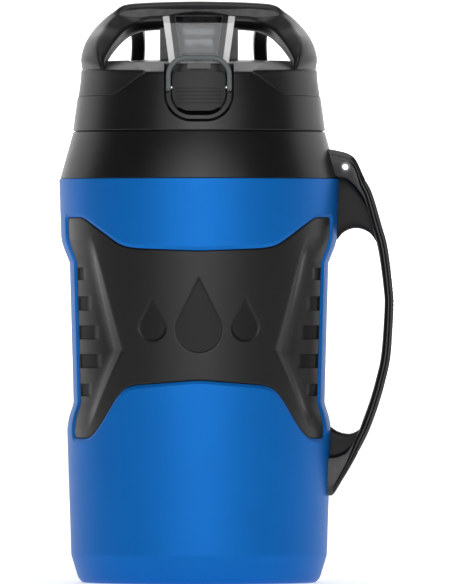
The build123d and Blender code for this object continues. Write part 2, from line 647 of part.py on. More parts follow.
def main():
    os.makedirs("parts", exist_ok=True)
    panel = panel_outline()
    front = grip(panel)
    nodes = {
        "outer_shell": outer_shell(panel),
        "front_grip": front,
        "rear_grip": mirror(front, Plane.XZ),
        "inner_liner": inner_liner(),
        "foam_insulation": foam_insulation(),
        "foam_fill_plug": foam_fill_plug(),
        "shoulder_collar": shoulder_collar(),
        "side_handle": side_handle(),
        "handle_grip_strip": handle_grip_strip(),
        "handle_eyelet": handle_eyelet(),
        "lid_shell": lid_shell(),
        "lid_liner": lid_liner(),
        "lid_gasket": lid_gasket(),
        "lid_foam": lid_foam(),
        "drink_spout": drink_spout(),
        "vent_valve": vent_valve(),
        "carry_handle": carry_handle(),
        "carry_handle_core": carry_handle_core(),
        "fence_hooks": fence_hooks(),
        "hinge_bracket": hinge_bracket(),
        "cover_pin": cover_pin(),
        "cover_spring": cover_spring(),
        "spout_cover": spout_cover(),
        "cover_seal": cover_seal(),
        "push_button": push_button(),
        "button_springs": button_springs(),
        "button_bezel": button_bezel(),
        "lock_ring": lock_ring(),
        "ring_pins": ring_pins(),
    }
    for name, shape in nodes.items():
        export_step(shape, f"parts/{name}.step")


main()
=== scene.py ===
import json
import math

import bmesh
import bpy
import numpy as np
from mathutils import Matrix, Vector


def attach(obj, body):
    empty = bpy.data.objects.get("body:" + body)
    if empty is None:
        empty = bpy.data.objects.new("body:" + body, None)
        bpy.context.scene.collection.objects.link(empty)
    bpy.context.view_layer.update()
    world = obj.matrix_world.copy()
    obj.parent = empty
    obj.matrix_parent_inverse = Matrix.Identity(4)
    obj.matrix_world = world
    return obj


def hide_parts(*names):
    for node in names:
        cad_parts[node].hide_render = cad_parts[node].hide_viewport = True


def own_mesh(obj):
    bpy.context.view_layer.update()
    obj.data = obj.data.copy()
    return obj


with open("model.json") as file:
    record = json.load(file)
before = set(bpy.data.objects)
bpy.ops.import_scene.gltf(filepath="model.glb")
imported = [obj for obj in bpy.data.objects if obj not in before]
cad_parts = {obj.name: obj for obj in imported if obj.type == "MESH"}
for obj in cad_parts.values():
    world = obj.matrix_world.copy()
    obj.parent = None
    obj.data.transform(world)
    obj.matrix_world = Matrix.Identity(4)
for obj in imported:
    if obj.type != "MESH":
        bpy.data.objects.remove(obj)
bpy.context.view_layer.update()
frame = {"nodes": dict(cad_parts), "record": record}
NODES = frame["nodes"]
MM = 0.001

# The jug's sizes are in millimetres, with -Y the front and +X the handle side.
# Materials and the studio are in metres.


# ---------------------------------------------------------------- materials
def new_material(name):
    material = bpy.data.materials.new(name)
    material.use_nodes = True
    tree = material.node_tree
    tree.nodes.clear()
    out = tree.nodes.new("ShaderNodeOutputMaterial")
    shader = tree.nodes.new("ShaderNodeBsdfPrincipled")
    tree.links.new(shader.outputs[0], out.inputs[0])
    return material, tree, shader


def connect(tree, node, inputs):
    """Links each input to another node's output, or gives it a constant; colours are (r, g, b)."""
    for key, source in inputs.items():
        socket = node.inputs[key]
        if isinstance(source, bpy.types.NodeSocket):
            tree.links.new(source, socket)
        elif socket.type == "RGBA":
            socket.default_value = (*source, 1)
        else:
            socket.default_value = source


def new_node(tree, kind, inputs, output=0, **settings):
    """Adds a node with its settings and inputs, and returns one of its outputs."""
    node = tree.nodes.new("ShaderNode" + kind)
    for key, value in settings.items():
        setattr(node, key, value)
    connect(tree, node, inputs)
    return node.outputs[output]


def coordinate(tree, axis):
    """The object's own X, Y or Z, in metres."""
    return new_node(tree, "SeparateXYZ", {0: new_node(tree, "TexCoord", {}, "Object")}, axis)


def noise(tree, scale, detail=2.0, stretch=(1, 1, 1)):
    coords = new_node(tree, "TexCoord", {}, "Object")
    stretched = new_node(tree, "Mapping", {"Vector": coords, "Scale": stretch})
    return new_node(tree, "TexNoise", {"Vector": stretched, "Scale": scale, "Detail": detail}, "Fac")


def ramp(tree, source, low, high, start=0.3, end=0.7):
    """Runs from low to high while the source runs from start to end."""
    return new_node(tree, "MapRange", {"Value": source, "From Min": start, "From Max": end,
                                       "To Min": low, "To Max": high})


def mix_colour(tree, factor, first, second):
    return new_node(tree, "Mix", {0: factor, 6: first, 7: second}, 2, data_type="RGBA")


def maths(tree, operation, *sources):
    return new_node(tree, "Math", dict(enumerate(sources)), operation=operation)


def relief(tree, shader, field, height, strength):
    """A fine bump in the surface; the height is in metres."""
    bump = new_node(tree, "Bump", {"Height": field, "Distance": height, "Strength": strength})
    connect(tree, shader, {"Normal": bump})


def edge_wear(tree):
    """How exposed an edge is, broken up by a coarse noise."""
    pointed = new_node(tree, "NewGeometry", {}, "Pointiness")
    spots = ramp(tree, noise(tree, 260, 4), 0.2, 1.0, 0.35, 0.65)
    return maths(tree, "MULTIPLY", ramp(tree, pointed, 0.0, 1.0, 0.53, 0.60), spots)


TINT_SPREAD, GLOSS_SPREAD = 0.025, 0.015
# In recesses: the share of the colour that stays (painted shade), the roughness added (a duller finish), the
# share of specular that stays (painted shade).
SUNK_PAINTED_SHADE, SUNK_GLOSS, SUNK_SPECULAR = 0.3, 0.25, 0.25


def moulded(name, colour, worn, rough, grain, height, specular=0.5, sheen=0.0, metallic=0.0, sinks=False):
    """Moulded plastic or rubber: fine grain, uneven gloss, lighter edges and, if asked, painted shade with a
    duller finish in recesses.
    """
    material, tree, shader = new_material(name)
    cloudy = ramp(tree, noise(tree, 38, 3), 0.0, 1.0)
    darker, lighter = ([c * (1 + change) for c in colour] for change in (-TINT_SPREAD, TINT_SPREAD))
    surface = mix_colour(tree, cloudy, darker, lighter)
    if worn:
        surface = mix_colour(tree, edge_wear(tree), surface, worn)
    gloss = ramp(tree, noise(tree, 90, 4), rough - GLOSS_SPREAD, rough + GLOSS_SPREAD)
    if sinks:
        # The sunk attribute paints shade into recesses and gives them a duller finish.
        sunk = new_node(tree, "Attribute", {}, "Fac", attribute_name="sunk")
        surface = mix_colour(tree, sunk, surface, [c * SUNK_PAINTED_SHADE for c in colour])
        gloss = maths(tree, "MULTIPLY_ADD", sunk, SUNK_GLOSS, gloss)
        specular = ramp(tree, sunk, specular, specular * SUNK_SPECULAR, 0.0, 1.0)
    relief(tree, shader, noise(tree, grain, 3), height, 0.5)
    connect(tree, shader, {"Base Color": surface, "Roughness": gloss, "Specular IOR Level": specular,
                           "Metallic": metallic, "Sheen Weight": sheen, "IOR": 1.47})
    return material


def metal(name, colour, rough):
    material, tree, shader = new_material(name)
    drawn = noise(tree, 900, 2, (0.05, 1, 1))
    relief(tree, shader, drawn, 0.00002, 0.25)
    connect(tree, shader, {"Base Color": colour, "Metallic": 1.0,
                           "Roughness": ramp(tree, drawn, rough - 0.06, rough + 0.08)})
    return material


BAND_EDGE = 0.0003  # metres over which one band passes into the next
FLARE_FROM = 0.279  # height in metres where the bands have their stated width
PAINTED_RIM = ((0.012, 0.012, 0.013), 0.1)  # painted shade and clearness of the lower and upper rims


def banded_smoke(name, colour, bands, flare, foot, top):
    """Smoke-tinted clear plastic with painted light: painted reflections, dark or white, on its thick flanks
    and painted dark rims; bands are (distance from the middle in metres, painted colour, clearness), and the
    flare moves them outwards with height."""
    material, tree, shader = new_material(name)
    height = coordinate(tree, "Z")
    aside = maths(tree, "ABSOLUTE", coordinate(tree, "X"))
    across = maths(tree, "ADD", aside, maths(tree, "MULTIPLY_ADD", height, -flare, flare * FLARE_FROM))
    steps = [(across, edge, edge + BAND_EDGE, shade, clear) for edge, shade, clear in bands]
    steps += [(height, top - 0.0004, top, *PAINTED_RIM), (height, foot + 0.0006, foot, *PAINTED_RIM)]
    layer, through_it = colour, 1.0
    for source, low, high, shade, clear in steps:
        inside = ramp(tree, source, 0.0, 1.0, low, high)
        layer = mix_colour(tree, inside, layer, shade)
        through_it = new_node(tree, "Mix", {0: inside, 2: through_it, 3: clear})
    connect(tree, shader, {"Base Color": layer, "Transmission Weight": through_it, "IOR": 1.49,
                           "Roughness": ramp(tree, noise(tree, 70, 3), 0.04, 0.09)})
    return material


WORN = (0.045, 0.045, 0.046)
# Slot: colour, colour of worn edges or None, roughness, grain's scale and height, further settings.
MOULDED = {
    "blue_shell": ((0.003, 0.143, 0.51), (0.05, 0.28, 0.72), 0.44, 2600, 0.00003,
                   {"specular": 0.15, "metallic": 0.4}),
    "black_plastic": ((0.006, 0.006, 0.0064), WORN, 0.33, 3000, 0.00003, {"sinks": True}),
    "grip_rubber": ((0.0065, 0.0065, 0.007), WORN, 0.34, 3400, 0.00004,
                    {"specular": 0.36, "sheen": 0.02, "sinks": True}),
    "soft_black": ((0.008, 0.008, 0.0085), WORN, 0.38, 3200, 0.00004, {}),
    "button_grey": ((0.012, 0.012, 0.0125), None, 0.38, 3000, 0.00003, {"specular": 0.3}),
    "bezel_grey": ((0.007, 0.007, 0.0075), None, 0.36, 3000, 0.00003, {}),
    "ring_grey": ((0.060, 0.075, 0.079), None, 0.36, 2600, 0.00003, {}),
    "liner_plastic": ((0.78, 0.78, 0.76), (0.85, 0.85, 0.84), 0.40, 2200, 0.00002, {}),
    "foam": ((0.80, 0.72, 0.50), (0.85, 0.8, 0.62), 0.8, 900, 0.0002, {}),
    "silicone": ((0.012, 0.012, 0.0125), WORN, 0.5, 2600, 0.00003, {}),
}
SMOKE = (0.50, 0.51, 0.52)
# On the cover: a painted dark reflection on the flanks, then a painted white highlight further out; on the
# spout: a painted dark reflection on the flanks.
COVER_PAINTED_BANDS = ((0.0102, (0.03, 0.03, 0.03), 0.35), (0.0133, (0.80, 0.80, 0.80), 0.25))
SPOUT_PAINTED_BANDS = ((0.0106, (0.006, 0.006, 0.006), 0.0),)


def make_materials():
    """A finish for each slot, and for each of the two clear pieces, whose bands and rims are painted light
    and shade.
    """
    made = {slot: moulded(slot, *look, **more) for slot, (*look, more) in MOULDED.items()}
    made["steel"] = metal("steel", (0.72, 0.72, 0.73), 0.24)
    made["dark_metal"] = metal("dark_metal", (0.16, 0.16, 0.165), 0.36)
    made["spout_cover"] = banded_smoke("smoke_cover", SMOKE, COVER_PAINTED_BANDS, 0.13, 0.2692, 0.2939)
    made["drink_spout"] = banded_smoke("smoke_spout", SMOKE, SPOUT_PAINTED_BANDS, 0.0, 0.100, 0.400)
    return made


def dress():
    """Every CAD node takes the finish of its slot, the clear pieces their own."""
    for part in frame["record"]["subparts"]:
        node = NODES[part["node"]]
        own = part["node"] if part["node"] in MATERIALS else part["material_slot"]
        node.data.materials.clear()
        node.data.materials.append(MATERIALS[own])


# ---------------------------------------------------------------- mesh helpers
def body_of(node):
    for body, members in frame["record"]["behaviour"]["bodies"].items():
        if node in members:
            return body
    return "root"


def slot_of(node):
    return next(p["material_slot"] for p in frame["record"]["subparts"] if p["node"] == node)


def new_object(name, data):
    made = bpy.data.objects.new(name, data)
    bpy.context.scene.collection.objects.link(made)
    return made


def place(name, mesh, node, crease):
    """Makes a piece from a mesh in millimetres; it stands for a CAD node and takes its slot's finish."""
    mesh.transform(((MM, 0, 0, 0), (0, MM, 0, 0), (0, 0, MM, 0), (0, 0, 0, 1)))
    slot = slot_of(node)
    mesh.materials.append(MATERIALS[slot])
    mesh.polygons.foreach_set("use_smooth", [True] * len(mesh.polygons))
    mesh.set_sharp_from_angle(angle=math.radians(crease))
    piece = new_object(name, mesh)
    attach(piece, body_of(node))
    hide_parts(node)
    return piece


def grid_faces(rows, columns, around):
    """Quads of a grid of rows x columns points; the columns close on themselves when around is true."""
    span = columns if around else columns - 1
    i, j = np.meshgrid(np.arange(rows - 1), np.arange(span), indexing="ij")
    k = (j + 1) % columns
    corners = (i * columns + j, i * columns + k, (i + 1) * columns + k, (i + 1) * columns + j)
    return np.stack(corners, -1).reshape(-1, 4)


def mesh_of(name, points, faces, merge=0.0):
    """A mesh from points and faces, with its normals turned outwards."""
    mesh = bpy.data.meshes.new(name)
    mesh.from_pydata(points, [], faces)
    made = bmesh.new()
    made.from_mesh(mesh)
    if merge:
        bmesh.ops.remove_doubles(made, verts=made.verts, dist=merge)
    bmesh.ops.recalc_face_normals(made, faces=made.faces)
    made.to_mesh(mesh)
    made.free()
    return mesh


def grid_mesh(name, grids, merge=0.0005):
    """A mesh from grids of points (rows, columns, 3), each closed round and capped at open ends."""
    points, faces = [], []
    for grid in grids:
        start = len(points)
        rows, columns, _ = grid.shape
        faces += (grid_faces(rows, columns, True) + start).tolist()
        if np.linalg.norm(grid[0] - grid[-1], axis=-1).max() > merge:
            faces.append([start + j for j in range(columns)])
            faces.append([start + (rows - 1) * columns + j for j in range(columns)][::-1])
        points += grid.reshape(-1, 3).tolist()
    return mesh_of(name, points, faces, merge)


def joined(name, meshes):
    """One mesh made of several."""
    made = bmesh.new()
    for mesh in meshes:
        made.from_mesh(mesh)
    whole = bpy.data.meshes.new(name)
    made.to_mesh(whole)
    made.free()
    return whole


def soft_min(a, b, k):
    h = np.clip(0.5 + 0.5 * (b - a) / k, 0, 1)
    return b + (a - b) * h - k * h * (1 - h)


def soft_max(a, b, k):
    return -soft_min(-a, -b, k)


def smooth(x):
    x = np.clip(x, 0, 1)
    return x * x * (3 - 2 * x)


def rounded_path(corners, radius, steps=5):
    """Points along a polyline whose corners are rounded."""
    path = [np.array(corners[0], float)]
    for i in range(1, len(corners) - 1):
        before, here, after = (np.array(corners[j], float) for j in (i - 1, i, i + 1))
        into, out = here - before, after - here
        reach = min(radius, 0.45 * np.linalg.norm(into), 0.45 * np.linalg.norm(out))
        start, end = here - into / np.linalg.norm(into) * reach, here + out / np.linalg.norm(out) * reach
        for t in np.linspace(0, 1, steps):
            path.append((1 - t) ** 2 * start + 2 * t * (1 - t) * here + t * t * end)
    path.append(np.array(corners[-1], float))
    return np.array(path)


# ---------------------------------------------------------------- body: shell and grip panels
CHAMFER_TOP = (66.5, 14.5)
BODY_TOP = (72.77, 209.8)
SLOPE = (BODY_TOP[0] - CHAMFER_TOP[0]) / (BODY_TOP[1] - CHAMFER_TOP[1])
WAIST = ((71.8, 73.8), (68.7, 83.1), (65.3, 93.3), (67.3, 166.2), (71.6, 177.0), (75.2, 186.0))
RIDGE = ((80.0, 64.5), (121.0, 43.0), (180.0, 58.5))
RIDGE_LEAN = 28.0
WAIST_DEPTH = 4.0
WAIST_FLARE = 0.35  # growth of the waist's radius beyond its ends, per millimetre of height
WAIST_SOFT, WALL_SOFT, FACET_SOFT = 2.5, 0.3, 0.35  # how softly the forms run into one another
FAR = 90.0  # a radius outside the whole body
FACET_Z = (80, 96, 121, 160, 178)  # height and
FACET_DROP = (1.0, 1.5, 1.9, 1.6, 0.7)  # depth of the bevel along the ridge
SHELL_WALL = 5.0
FILL_HOLE_R = 9.0
FOOT = ((FILL_HOLE_R, 0), (60.6, 0), (62.9, 2.6))  # (r, z) of the underside, below the chamfer
FLOOR_R = 58.0
LIP = 1.0  # height of the rounded lip at the shell's top
PANEL_TOP = ((0, 173.9), (33, 175.2), (40.4, 176.5), (60.8, 191.3), (90, 191.3))
PANEL_BOTTOM = ((0, 103.8), (36, 101), (40.5, 98.4), (51.8, 79.6), (57.2, 73.5), (90, 73.5))
PANEL_SIDE = 74.5  # degrees from the front
PANEL_CORNERS = (4.0, 5.0)  # radius of the upper and the lower outer corner
PANEL_REACH = (10, 12)  # millimetres over which grid lines straighten again beside them
MM_PER_DEGREE = 1.22
PANEL_SINK = 1.0
PANEL_THICK = 2.3
PANEL_GAP, PANEL_ROLL = 1.62, 0.9  # the panel's inset in its bed and the radius of its edge
BED = PANEL_SINK + PANEL_THICK + 0.15
# Insets from the edge of the shell's opening for the panel, and depths there.
BED_EDGE = ((2.4, BED), (PANEL_GAP, BED), (1.5, PANEL_SINK), (0.15, 0.12), (-0.15, 0), (-0.7, 0))
PANEL_KINKS = ((PANEL_BOTTOM, 4.0), (PANEL_TOP, 3.0))  # the edges and the degrees that ease their kinks
POCKETS = ((163.7, 157.2, 62.0), (148.8, 141.3, 57.3), (133.7, 126.4, 51.8),
           (118.9, 111.5, 50.2), (103.5, 96.9, 59.0))
POCKET_OUTER = 72.0
POCKET_DEPTH = 0.8
POCKET_EDGE = 0.35
POCKET_FADE = 6.0  # degrees over which a pocket fades out towards the ridge
PANEL_BAND = (108.0, 168.0)  # rows of the panel are level between these heights
MARK_Z = 138.8
MARK_HALF = 27  # degrees from the middle that hold the drops
MARK_DEPTH = 0.6
DROPS = ((0, -7, 12), (-24, -6, 7), (24, -6, 7))
DROP_TIP = 2.2
MARK_SHADE, POCKET_SHADE, WAIST_SHADE = 0.35, 0.5, 0.35  # how much painted shade, with a duller finish, the drops, the pockets and the waist's hollow get


def plain_radius(z):
    return CHAMFER_TOP[0] + SLOPE * (z - CHAMFER_TOP[1])


def fold(angle):
    """Degrees from the nearer of front and back, as the body is the same on all four quarters."""
    a = np.abs((angle + 180) % 360 - 180)
    return np.minimum(a, 180 - a)


def form_radius(angle, z, inset=0.0):
    """Radius of the body's outer form at an angle from the front: cone, waist and leaning ridge wall."""
    a = fold(angle)
    plain = plain_radius(z) - inset
    waist_z, waist_r = [p[1] for p in WAIST], [p[0] for p in WAIST]
    bottom = np.interp(z, waist_z, waist_r)
    below, above = waist_z[0] - z, z - waist_z[-1]
    bottom = bottom + WAIST_FLARE * (np.maximum(below, 0) + np.maximum(above, 0)) - inset
    ridge = np.interp(z, [p[0] for p in RIDGE], [p[1] for p in RIDGE])
    lean = np.radians(ridge + RIDGE_LEAN)
    reach = (plain_radius(z) - WAIST_DEPTH) * math.cos(math.radians(RIDGE_LEAN)) - inset
    facing = np.cos(np.radians(a) - lean)
    wall = np.where(facing > 0.3, reach / np.maximum(facing, 0.3), FAR)
    wall = soft_max(bottom, np.minimum(wall, FAR), WAIST_SOFT)
    facet = np.interp(z, FACET_Z, FACET_DROP)
    bevel = (plain + wall - facet) / 2
    return soft_min(soft_min(plain, wall, WALL_SOFT), bevel, FACET_SOFT)


def panel_edge(outline, angle, spread):
    """Height of the panel's upper or lower edge at an angle, with its kinks eased over spread degrees."""
    total = 0
    shifts = np.linspace(-spread, spread, 9)
    for shift in shifts:
        a = np.radians(np.minimum(np.abs(angle + shift), 89))
        z = np.full(np.shape(a), 140.0)
        for _ in range(3):
            z = np.interp(plain_radius(z) * np.sin(a), [p[0] for p in outline], [p[1] for p in outline])
        total = total + z
    return total / len(shifts)


def round_corner(s, z, corner, radius, side, up, reach):
    """Bends grid lines round a square corner into concentric arcs; they are straight again at reach."""
    p = side * (s - corner[0]) + radius
    q = up * (z - corner[1]) + radius
    m = np.maximum(p, q)
    inside = (p > 0) & (q > 0)
    theta = np.where(p >= q, q / np.maximum(m, 1e-6), 2 - p / np.maximum(m, 1e-6)) * math.pi / 4
    keep = smooth((m - radius) / reach)
    new_p = m * np.cos(theta) * (1 - keep) + p * keep
    new_q = m * np.sin(theta) * (1 - keep) + q * keep
    p, q = np.where(inside, new_p, p), np.where(inside, new_q, q)
    return corner[0] + side * (p - radius), corner[1] + up * (q - radius)


def panel_bend(angle, z):
    """Rounds the panel's four outer corners."""
    a = (angle + 90) % 180 - 90
    s = a * MM_PER_DEGREE
    side_s = PANEL_SIDE * MM_PER_DEGREE
    for side in (-1, 1):
        for k, (outline, up) in enumerate(((PANEL_TOP, 1), (PANEL_BOTTOM, -1))):
            corner = (side * side_s, outline[-1][1])
            s, z = round_corner(s, z, corner, PANEL_CORNERS[k], side, up, PANEL_REACH[k])
    return angle + s / MM_PER_DEGREE - a, z


def on_body(angle, radius, z):
    """Points at angles from the front, at a radius and height that may be one number for all of them."""
    a = np.radians(angle)
    return np.stack(np.broadcast_arrays(radius * np.sin(a), -radius * np.cos(a), z), -1)


def panel_limits(a):
    """Heights and slopes of the panel's lower and upper edges at angles from its middle."""
    found = []
    for outline, spread in PANEL_KINKS:
        edge = panel_edge(outline, a, spread)
        step = 0.5
        rise = panel_edge(outline, a + step, spread) - panel_edge(outline, a - step, spread)
        found.append((edge, rise / (2 * step * MM_PER_DEGREE)))
    return found[0][0], found[1][0], found[0][1], found[1][1]


def half_angles(edge_offsets, step):
    """Angles from 0 to 90, with lines at the panel's side and at small offsets (mm) from it."""
    near = [PANEL_SIDE - d / MM_PER_DEGREE for d in edge_offsets]
    inner = np.linspace(0, near[0], int(near[0] / step) + 1)[:-1]
    outer = np.linspace(near[-1], 90, int((90 - near[-1]) / step) + 2)[1:]
    return np.concatenate([inner, near, outer])


def edge_rows(edges, slope, offsets):
    """Rows that follow the panel's edge at small offsets, measured square to it."""
    return [edges + d * np.sqrt(1 + slope ** 2) for d in offsets]


def blue_shell():
    """The shell: its outside follows the form, the panel's bed is cut into it with a chamfered edge."""
    quarter = half_angles([inset for inset, _ in BED_EDGE], 0.9)
    half = np.concatenate([quarter, 180 - quarter[-2::-1]])
    angle = np.concatenate([half, 360 - half[-2:0:-1]])
    a = fold(angle)
    low, high, low_slope, high_slope = panel_limits(a)
    rows, depths = [], []

    def add(z, depth):
        rows.append(np.broadcast_to(np.asarray(z, float), a.shape))
        depths.append(np.full(a.shape, depth))

    start = CHAMFER_TOP[1] + 2.5
    lower = edge_rows(low, low_slope, [inset for inset, _ in BED_EDGE])
    upper = edge_rows(high, high_slope, [-inset for inset, _ in BED_EDGE])
    for t in np.linspace(0, 1, 46)[:-1]:
        add(start + (lower[-1] - start) * t, 0.0)
    for row, (_, depth) in zip(lower[::-1], BED_EDGE[::-1]):
        add(row, depth)
    for t in np.linspace(0, 1, 76)[1:-1]:
        add(lower[0] + (upper[0] - lower[0]) * t, BED)
    for row, (_, depth) in zip(upper, BED_EDGE):
        add(row, depth)
    top = BODY_TOP[1] - LIP
    last = rows[-1]
    for t in np.linspace(0, 1, 24)[1:]:
        add(last + (top - last) * t, 0.0)
    z = np.array(rows)
    side = sorted((PANEL_SIDE - inset / MM_PER_DEGREE, depth) for inset, depth in BED_EDGE)
    depth = np.minimum(np.array(depths), np.interp(a, *zip(*side)))
    bent_angle, bent_z = panel_bend(np.broadcast_to(angle, z.shape), z)
    skin = on_body(bent_angle, form_radius(bent_angle, bent_z, depth), bent_z)

    foot_path = rounded_path([*FOOT, CHAMFER_TOP, (66.58, start)], 1.2)
    foot = np.array([on_body(angle, r, h) for r, h in foot_path[:-1]])
    inner_lip = (BODY_TOP[0] - SHELL_WALL, BODY_TOP[1])
    lip_path = rounded_path([(plain_radius(top), top), BODY_TOP, inner_lip], 0.9)
    rim = np.array([on_body(angle, r, h) for r, h in lip_path[1:]])
    inside = []
    for h in np.linspace(top, CHAMFER_TOP[1], 30):
        inside.append(on_body(angle, form_radius(angle, h) - SHELL_WALL, h))
    for r in (FLOOR_R, FILL_HOLE_R):
        inside.append(on_body(angle, r, SHELL_WALL))
    inside.append(foot[0])
    points = np.concatenate([foot, skin, rim, np.array(inside)])
    place("blue_shell", grid_mesh("blue_shell", [points]), "outer_shell", 42)


def drop_distance(x, z, radius):
    """Distance outside a water drop: a disc below, two straight sides that meet in a point above."""
    x = np.abs(x)
    sine = 1 / DROP_TIP
    cosine = math.sqrt(1 - sine ** 2)
    return np.where(z * cosine > x * sine, x * cosine + z * sine - radius, np.hypot(x, z) - radius)


def pocket_depth(a, z):
    """Depth of the finger pockets in the waist of the panel: crisp edges, fading out towards the ridge."""
    depth = 0
    for high, low, inner in POCKETS:
        rise = smooth(((high - low) / 2 - np.abs(z - (high + low) / 2)) / POCKET_EDGE)
        reach = smooth((a - inner) / POCKET_FADE) * smooth((POCKET_OUTER - a) / 0.5)
        depth = depth + rise * reach
    return depth * POCKET_DEPTH


def spaced(start, end, step, extra=()):
    """Values from start to end at about one step, with the extra ones put in place of their neighbours."""
    plain = np.linspace(start, end, int(abs(end - start) / step) + 2)
    kept = [v for v in plain if all(abs(v - e) > 0.45 * step for e in extra) or v in (start, end)]
    return np.array(sorted(set(kept) | set(extra)))


def closed_sheet(name, front, back, step):
    """A closed mesh from a fine front grid and a back that uses every few of its rows and columns."""
    n_rows, n_columns, _ = front.shape
    rows = sorted(set(range(0, n_rows, step)) | {n_rows - 1})
    columns = sorted(set(range(0, n_columns, step)) | {n_columns - 1})
    edge_row, edge_column = (0, n_rows - 1), (0, n_columns - 1)
    points = front.reshape(-1, 3).tolist()
    faces = grid_faces(n_rows, n_columns, False).tolist()
    ids = {}
    for i in rows:
        for j in columns:
            if i in edge_row or j in edge_column:
                ids[i, j] = i * n_columns + j
            else:
                ids[i, j] = len(points)
                points.append(back[i, j].tolist())
    for i0, i1 in zip(rows, rows[1:]):
        for j0, j1 in zip(columns, columns[1:]):
            top = range(j0, j1) if i0 == 0 else (j0,)
            right = range(i0, i1) if j1 == n_columns - 1 else (i0,)
            bottom = range(j1, j0, -1) if i1 == n_rows - 1 else (j1,)
            left = range(i1, i0, -1) if j0 == 0 else (i1,)
            loop = [(i0, j) for j in top] + [(i, j1) for i in right]
            loop += [(i1, j) for j in bottom] + [(i, j0) for i in left]
            faces.append([ids[c] if c in ids else c[0] * n_columns + c[1] for c in loop][::-1])
    return mesh_of(name, points, faces)


def panel_columns(offsets, depths):
    """Angles across the panel, finest at the drops, and the depth of its rolled sides at each."""
    near = [PANEL_SIDE - o / MM_PER_DEGREE for o in offsets[::-1]]
    middle = spaced(0, MARK_HALF, 0.38)
    flank = spaced(MARK_HALF, near[0], 0.75)[1:-1]
    half = np.concatenate([middle, flank, near])
    depth = np.concatenate([np.zeros(len(middle) + len(flank)), depths[::-1]])
    return np.concatenate([-half[:0:-1], half]), np.concatenate([depth[:0:-1], depth])


def panel_rows(a, offsets):
    """Heights of the panel's rows: along its edges, level across the waist and shared out in between."""
    low, high, low_slope, high_slope = panel_limits(a)
    lower = edge_rows(low, low_slope, offsets)
    upper = edge_rows(high, high_slope, [-o for o in offsets[::-1]])
    steps = [z for top, bottom, _ in POCKETS for z in (top, top - POCKET_EDGE, bottom, bottom + POCKET_EDGE)]
    start, end = PANEL_BAND
    foot = PANEL_BOTTOM[-1][1] + offsets[-1]
    below = spaced(foot, start, 0.8, [z for z in steps if z < start])[1:-1]
    rows = [*lower, *(lower[-1] + (start - lower[-1]) * t for t in (below - foot) / (start - foot))]
    rows += [np.full(a.shape, z) for z in spaced(start, end, 0.5, [z for z in steps if start < z < end])]
    rows += [end + (upper[0] - end) * t for t in np.linspace(0, 1, 30)[1:-1]]
    return np.array([*rows, *upper])


def grip_panel(name, node, turn):
    """One rubber panel with rounded edges, ridge, finger pockets and the sunken drops."""
    roll = PANEL_ROLL
    into = (0.10, 0.28, 0.55, roll)
    offsets = [PANEL_GAP + o for o in (0, 0, *into)]
    depths = [PANEL_THICK, roll] + [roll - math.sqrt(roll ** 2 - (roll - o) ** 2) for o in into]
    angle, side_depth = panel_columns(offsets, depths)
    rows = panel_rows(np.abs(angle), offsets)
    row_depth = np.array(depths + [0.0] * (len(rows) - 2 * len(depths)) + depths[::-1])
    edge_depth = np.maximum(row_depth[:, None], side_depth[None, :])
    bent, z = panel_bend(np.broadcast_to(angle, rows.shape), rows)
    pockets = pocket_depth(np.abs(bent), z)
    radius = form_radius(bent, z, PANEL_SINK + edge_depth + pockets)
    x = radius * np.sin(np.radians(bent))
    mark = 0
    for drop_x, rise, size in DROPS:
        mark = mark + smooth(0.5 - drop_distance(x - drop_x, z - MARK_Z - rise, size) / 0.8)
    radius = radius - MARK_DEPTH * mark
    back = form_radius(bent, z, PANEL_SINK + PANEL_THICK)
    mesh = closed_sheet(name, on_body(bent + turn, radius, z), on_body(bent + turn, back, z), 6)
    # Painted shade, with a duller finish, for the drops, the finger pockets and the waist's hollow, carried
    # in the sunk attribute.
    sunk = mesh.attributes.new("sunk", "FLOAT", "POINT")
    values = np.zeros(len(mesh.vertices), np.float32)
    hollow = smooth((plain_radius(z) - form_radius(bent, z)) / WAIST_DEPTH)
    shade = MARK_SHADE * mark + POCKET_SHADE * pockets / POCKET_DEPTH + WAIST_SHADE * hollow
    values[:mark.size] = shade.reshape(-1)
    sunk.data.foreach_set("value", values)
    place(name, mesh, node, 50)


def collar():
    """The turned ring between shell and lid, from its closed (r, z) outline."""
    tongue = plain_radius(205) - 5.5
    corners = ((53.6, 231.9), (53.6, 234.25), (62.8, 234.25), (62.8, 235.6), (64.3, 235.6), (64.3, 234.25),
               (65.4, 234.25), (72.2, 209.95), (tongue, 209.95), (tongue, 204.3),
               (tongue - 2, 204.3), (tongue - 2, 209.95), (67.3, 212.3), (62.0, 231.9))
    middle = np.add(corners[0], corners[-1]) / 2
    angle = np.linspace(0, 360, 224, endpoint=False)
    points = np.array([on_body(angle, r, z) for r, z in rounded_path([middle, *corners, middle], 0.45)])
    place("shoulder_ring", grid_mesh("shoulder_ring", [points]), "shoulder_collar", 50)


# ---------------------------------------------------------------- lid: body, cheeks and carry handle
SKIRT_Z, SKIRT_R = (234.75, 252.2, 263.6), (65.6, 63.2, 61.2)
DECK_R, DECK_Z = (0, 28, 48, 60.2), (272.0, 271.7, 270.2, 264.9)
POCKET_HALF = 18.0
POCKET_BOTTOM = 238.9
POCKET_CORNER = 14.0
POCKET_FLOOR_R = 58.5  # below the step
POCKET_BACK_R = 50.5  # above the step
POCKET_STEP = 254.6
CHEEK_Z = 252.5
CHEEK_X = ((252.5, 44.5), (264.4, 27.7))  # front edge of the cheeks: height and half-width
CHEEK_DECK = ((46.0, 37.0), (61.2, 27.7))  # the same edge on the deck: radius and half-width
CHEEK_LAYER = 1.3
CHEEK_RISE = 0.8  # the cheeks' layer on the deck
PLAN = (0, 16, 45, 90, 135, 180)  # nominal angles of the pocket's side, the cheek's edge and the side
POCKET_SIDE = 15.97  # columns below this nominal angle sink into the pocket
